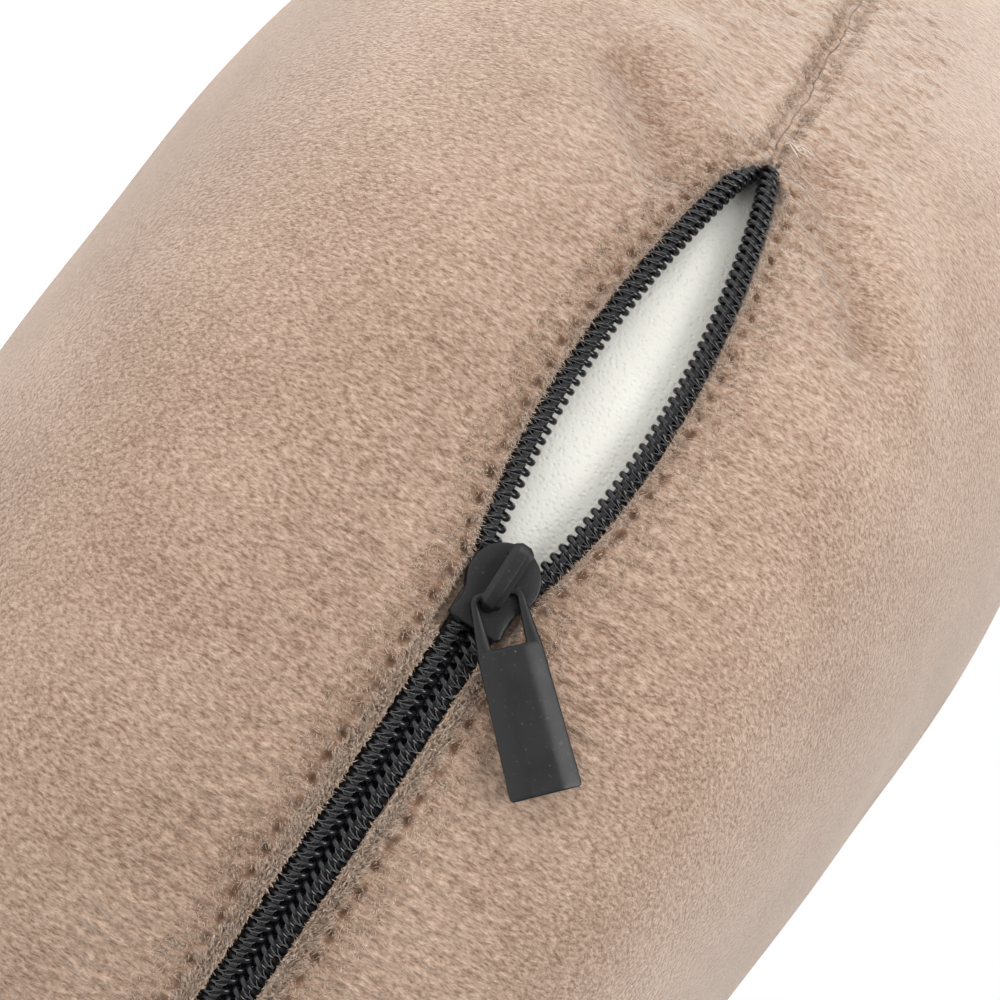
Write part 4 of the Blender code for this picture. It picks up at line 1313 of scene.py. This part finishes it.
def flange(side):
    """A wall under the plate from the mouth to the tail, as a strip of oblong sections."""
    x = np.linspace(-0.0024, 0.0062, 40)
    inner = np.interp(x, [-0.0024, 0.0, 0.0034, 0.0062], [0.0045, 0.00395, 0.00285, 0.00285])
    rim = np.sqrt(np.clip(DISC**2 - x**2, 0.0, None))
    outer = np.maximum(np.minimum(np.maximum(rim, TAIL_HALF), 0.00436), inner + 0.0001)
    inner = np.minimum(inner, outer - 0.00012)
    turn = 2 * np.pi * np.arange(16)[None, :] / 16
    square_y = np.sign(np.cos(turn)) * np.abs(np.cos(turn)) ** 0.4
    square_z = np.sign(np.sin(turn)) * np.abs(np.sin(turn)) ** 0.4
    y = side * ((inner + outer) / 2)[:, None] + square_y * ((outer - inner) / 2)[:, None]
    z = -0.00085 + square_z * 0.00115 + 0.0 * x[:, None]
    return capped(np.stack([x[:, None] + 0.0 * y, y, z], axis=-1))


def build_slider_body():
    outline = slider_outline()
    top = plate(outline, 0.0002, 0.0012, 0.00024)
    bottom = plate(outline, -0.0044, -0.0035, 0.00022)
    wedge = smooth_loop([(-0.0042, -0.0005), (-0.0021, -0.0009), (-0.0002, -0.0003),
                         (-0.0002, 0.0003), (-0.0021, 0.0009), (-0.0042, 0.0005)], 0.0002, 4)
    post = plate(even_loop(wedge, 48), -0.0038, 0.0006, 0.0001)
    seat = box_loop(-0.00445, -0.0030, 0.0015, 0.0002)
    step = plate(even_loop(seat * np.array([0.93, 1.0]), 48), 0.0010, 0.00155, 0.00012)
    parts = [shell(slider_world(grid)) for grid in (top, bottom, post, step, flange(1.0), flange(-1.0))]
    return make_piece("slider_casting", parts, SLIDER_PAINT)


fit(build_slider_body(), "slider", "slider_paint", "slider_body")

# %% [markdown]
# The crown is a faceted bridge over the pull's bar. It is swept: an arch in the slider's
# length carries a six-cornered section that is wide at the mouth and narrow at the tail.
# A spring strip with a bent pin lies under it, and rises as the pull is lifted.

# %% Crown and lock strip
LOCK_HALF = 0.00022


def arch_line():
    """The crown's middle line in (x, z): up at the mouth, level, and down at the tail."""
    corners = np.array([[-0.00392, 0.0011], [-0.00395, 0.0034], [-0.0028, 0.0040], [0.0024, 0.0040],
                        [0.0037, 0.0036], [0.00405, 0.0026], [0.0041, 0.0011]])
    t = np.linspace(0.0, len(corners) - 1.0, 400)
    rough = np.column_stack([np.interp(t, np.arange(len(corners)), corners[:, k]) for k in (0, 1)])
    kernel = bell(np.linspace(-1.0, 1.0, 61), 0.5)
    kernel = kernel / kernel.sum()
    padded = np.concatenate([np.repeat(rough[:1], 30, 0), rough, np.repeat(rough[-1:], 30, 0)])
    smooth = np.column_stack([np.convolve(padded[:, k], kernel, "valid") for k in (0, 1)])
    return smooth[::8]


def build_crown():
    line = arch_line()
    tangent = unit(np.gradient(line, axis=0))
    normal = np.column_stack([-tangent[:, 1], tangent[:, 0]])
    share = np.linspace(0.0, 1.0, len(line))
    half_wide = 0.0013 - 0.0004 * smoothstep((share - 0.72) / 0.25)
    half_thick = 0.00043 + 0.00006 * np.sin(np.pi * share)
    corners = [(-1.0, -1.0), (1.0, -1.0), (1.0, -0.10), (0.45, 1.0), (-0.45, 1.0), (-1.0, -0.10)]
    section = smooth_loop(corners, [0.18, 0.18, 0.06, 0.05, 0.05, 0.06], 4)
    y = section[None, :, 0] * half_wide[:, None]
    n = section[None, :, 1] * half_thick[:, None]
    x = line[:, :1] + normal[:, :1] * n
    z = line[:, 1:] + normal[:, 1:] * n
    grid = slider_world(capped(np.stack([x, y, z], axis=-1)))
    return make_piece("crown_bridge", [shell(grid)], SLIDER_PAINT)


def build_lock():
    strip = box_loop(-0.0031, 0.0029, LOCK_HALF, 0.0001)
    flat = plate(even_loop(strip, 64), 0.0027, 0.0029, 0.00004)
    bent = box_loop(0.00047, 0.00093, LOCK_HALF, 0.0001)
    pin = plate(even_loop(bent, 32), 0.00008, 0.00275, 0.00004)
    parts = [shell(slider_world(grid)) for grid in (flat, pin)]
    return make_piece("lock_strip", parts, SPRING_STEEL)


fit(build_crown(), "slider", "slider_paint", "slider_crown")
fit(build_lock(), "lock_spring", "spring_steel", "slider_lock_spring")

# %% [markdown]
# ## Pull tab
# The pull is a flat tab with a slimmer loop at its end, whose bar turns under the crown. The
# tab is a plate with broad soft bevels. The loop is a closed path with a small rounded section.

# %% Pull
PULL_PIVOT = np.array([0.0022, 0.0, 0.00195])
PULL_YAW = math.radians(47.0)
TAB_HALF, TAB_ROUND = 0.00085, 0.00018
CHAMFER, CHAMFER_DROP = 0.0025, 0.66


def pull_world(local):
    x_axis = math.cos(PULL_YAW) * SLIDER_X + math.sin(PULL_YAW) * SLIDER_Y
    y_axis = -math.sin(PULL_YAW) * SLIDER_X + math.cos(PULL_YAW) * SLIDER_Y
    origin = slider_world(PULL_PIVOT)
    return to_world(local, origin, x_axis, y_axis, SLIDER_Z)


def build_tab():
    """A lozenge in section: z = half (1 - drop t^1.5), where t goes from 0 to 1 on the chamfer."""
    start, finish, root, end = 0.0064, 0.02385, 0.00385, 0.0043
    tab = smooth_loop([(start, -root), (finish, -end), (finish, end), (start, root)],
                      [0.0002, 0.0005, 0.0005, 0.0002], 6)
    rings = plate(even_loop(tab, 240), -TAB_HALF, TAB_HALF, TAB_ROUND)
    outline = inset_loop(even_loop(tab, 240), TAB_ROUND)
    middle = np.array([(start + finish) / 2, 0.0])
    caps = [middle + (outline - middle) * share for share in np.linspace(0.0, 0.96, 9)]
    low = np.stack([np.column_stack([cap, np.full(240, -TAB_HALF)]) for cap in caps])
    high = low[::-1] * np.array([1.0, 1.0, -1.0])
    grid = np.concatenate([low, rings[2:-2], high])
    half = root + (end - root) * np.clip((grid[..., 0] - start) / (finish - start), 0.0, 1.0)
    t = np.clip((np.abs(grid[..., 1]) - (half - CHAMFER)) / CHAMFER, 0.0, 1.0)
    grid[..., 2] *= 1.0 - CHAMFER_DROP * t**1.5
    return grid


def build_eye():
    """A loop whose legs widen towards the tab, as a closed strip of rounded square sections."""
    outer = smooth_loop([(-0.00045, -0.0031), (0.0068, -0.00385), (0.0068, 0.00385), (-0.00045, 0.0031)],
                        [0.0013, 0.0002, 0.0002, 0.0013], 12)
    inner = smooth_loop([(0.00045, -0.0024), (0.0063, -0.0021), (0.0063, 0.0021), (0.00045, 0.0024)],
                        [0.0007, 0.0003, 0.0003, 0.0007], 12)
    turn = np.linspace(0.0, 2.0 * np.pi, 16, endpoint=False)
    wide = 0.5 + 0.5 * np.sign(np.cos(turn)) * np.abs(np.cos(turn)) ** 0.45
    tall = np.sign(np.sin(turn)) * np.abs(np.sin(turn)) ** 0.45
    flat = outer[:, None] * wide[None, :, None] + inner[:, None] * (1.0 - wide)[None, :, None]
    z = 0.00045 * tall[None, :] + 0.0 * flat[..., 0]
    return np.concatenate([flat, z[..., None]], axis=-1)


def build_pull():
    parts = [shell(pull_world(build_tab())), shell(pull_world(build_eye()), wrap_rows=True)]
    return make_piece("pull_casting", parts, PULL_PAINT)


fit(build_pull(), "pull", "pull_paint", "pull_tab")

# %% [markdown]
# ## Sizes
# The fine model's box is compared with the solids' box, and how far its high side grew is printed.

# %% Compare both boxes
bpy.context.view_layer.update()
fine_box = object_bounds()
grown = [round((b - a) * 1000, 2) for a, b in zip(cad_box[1], fine_box[1])]
print("high side grew by", grown, "mm")
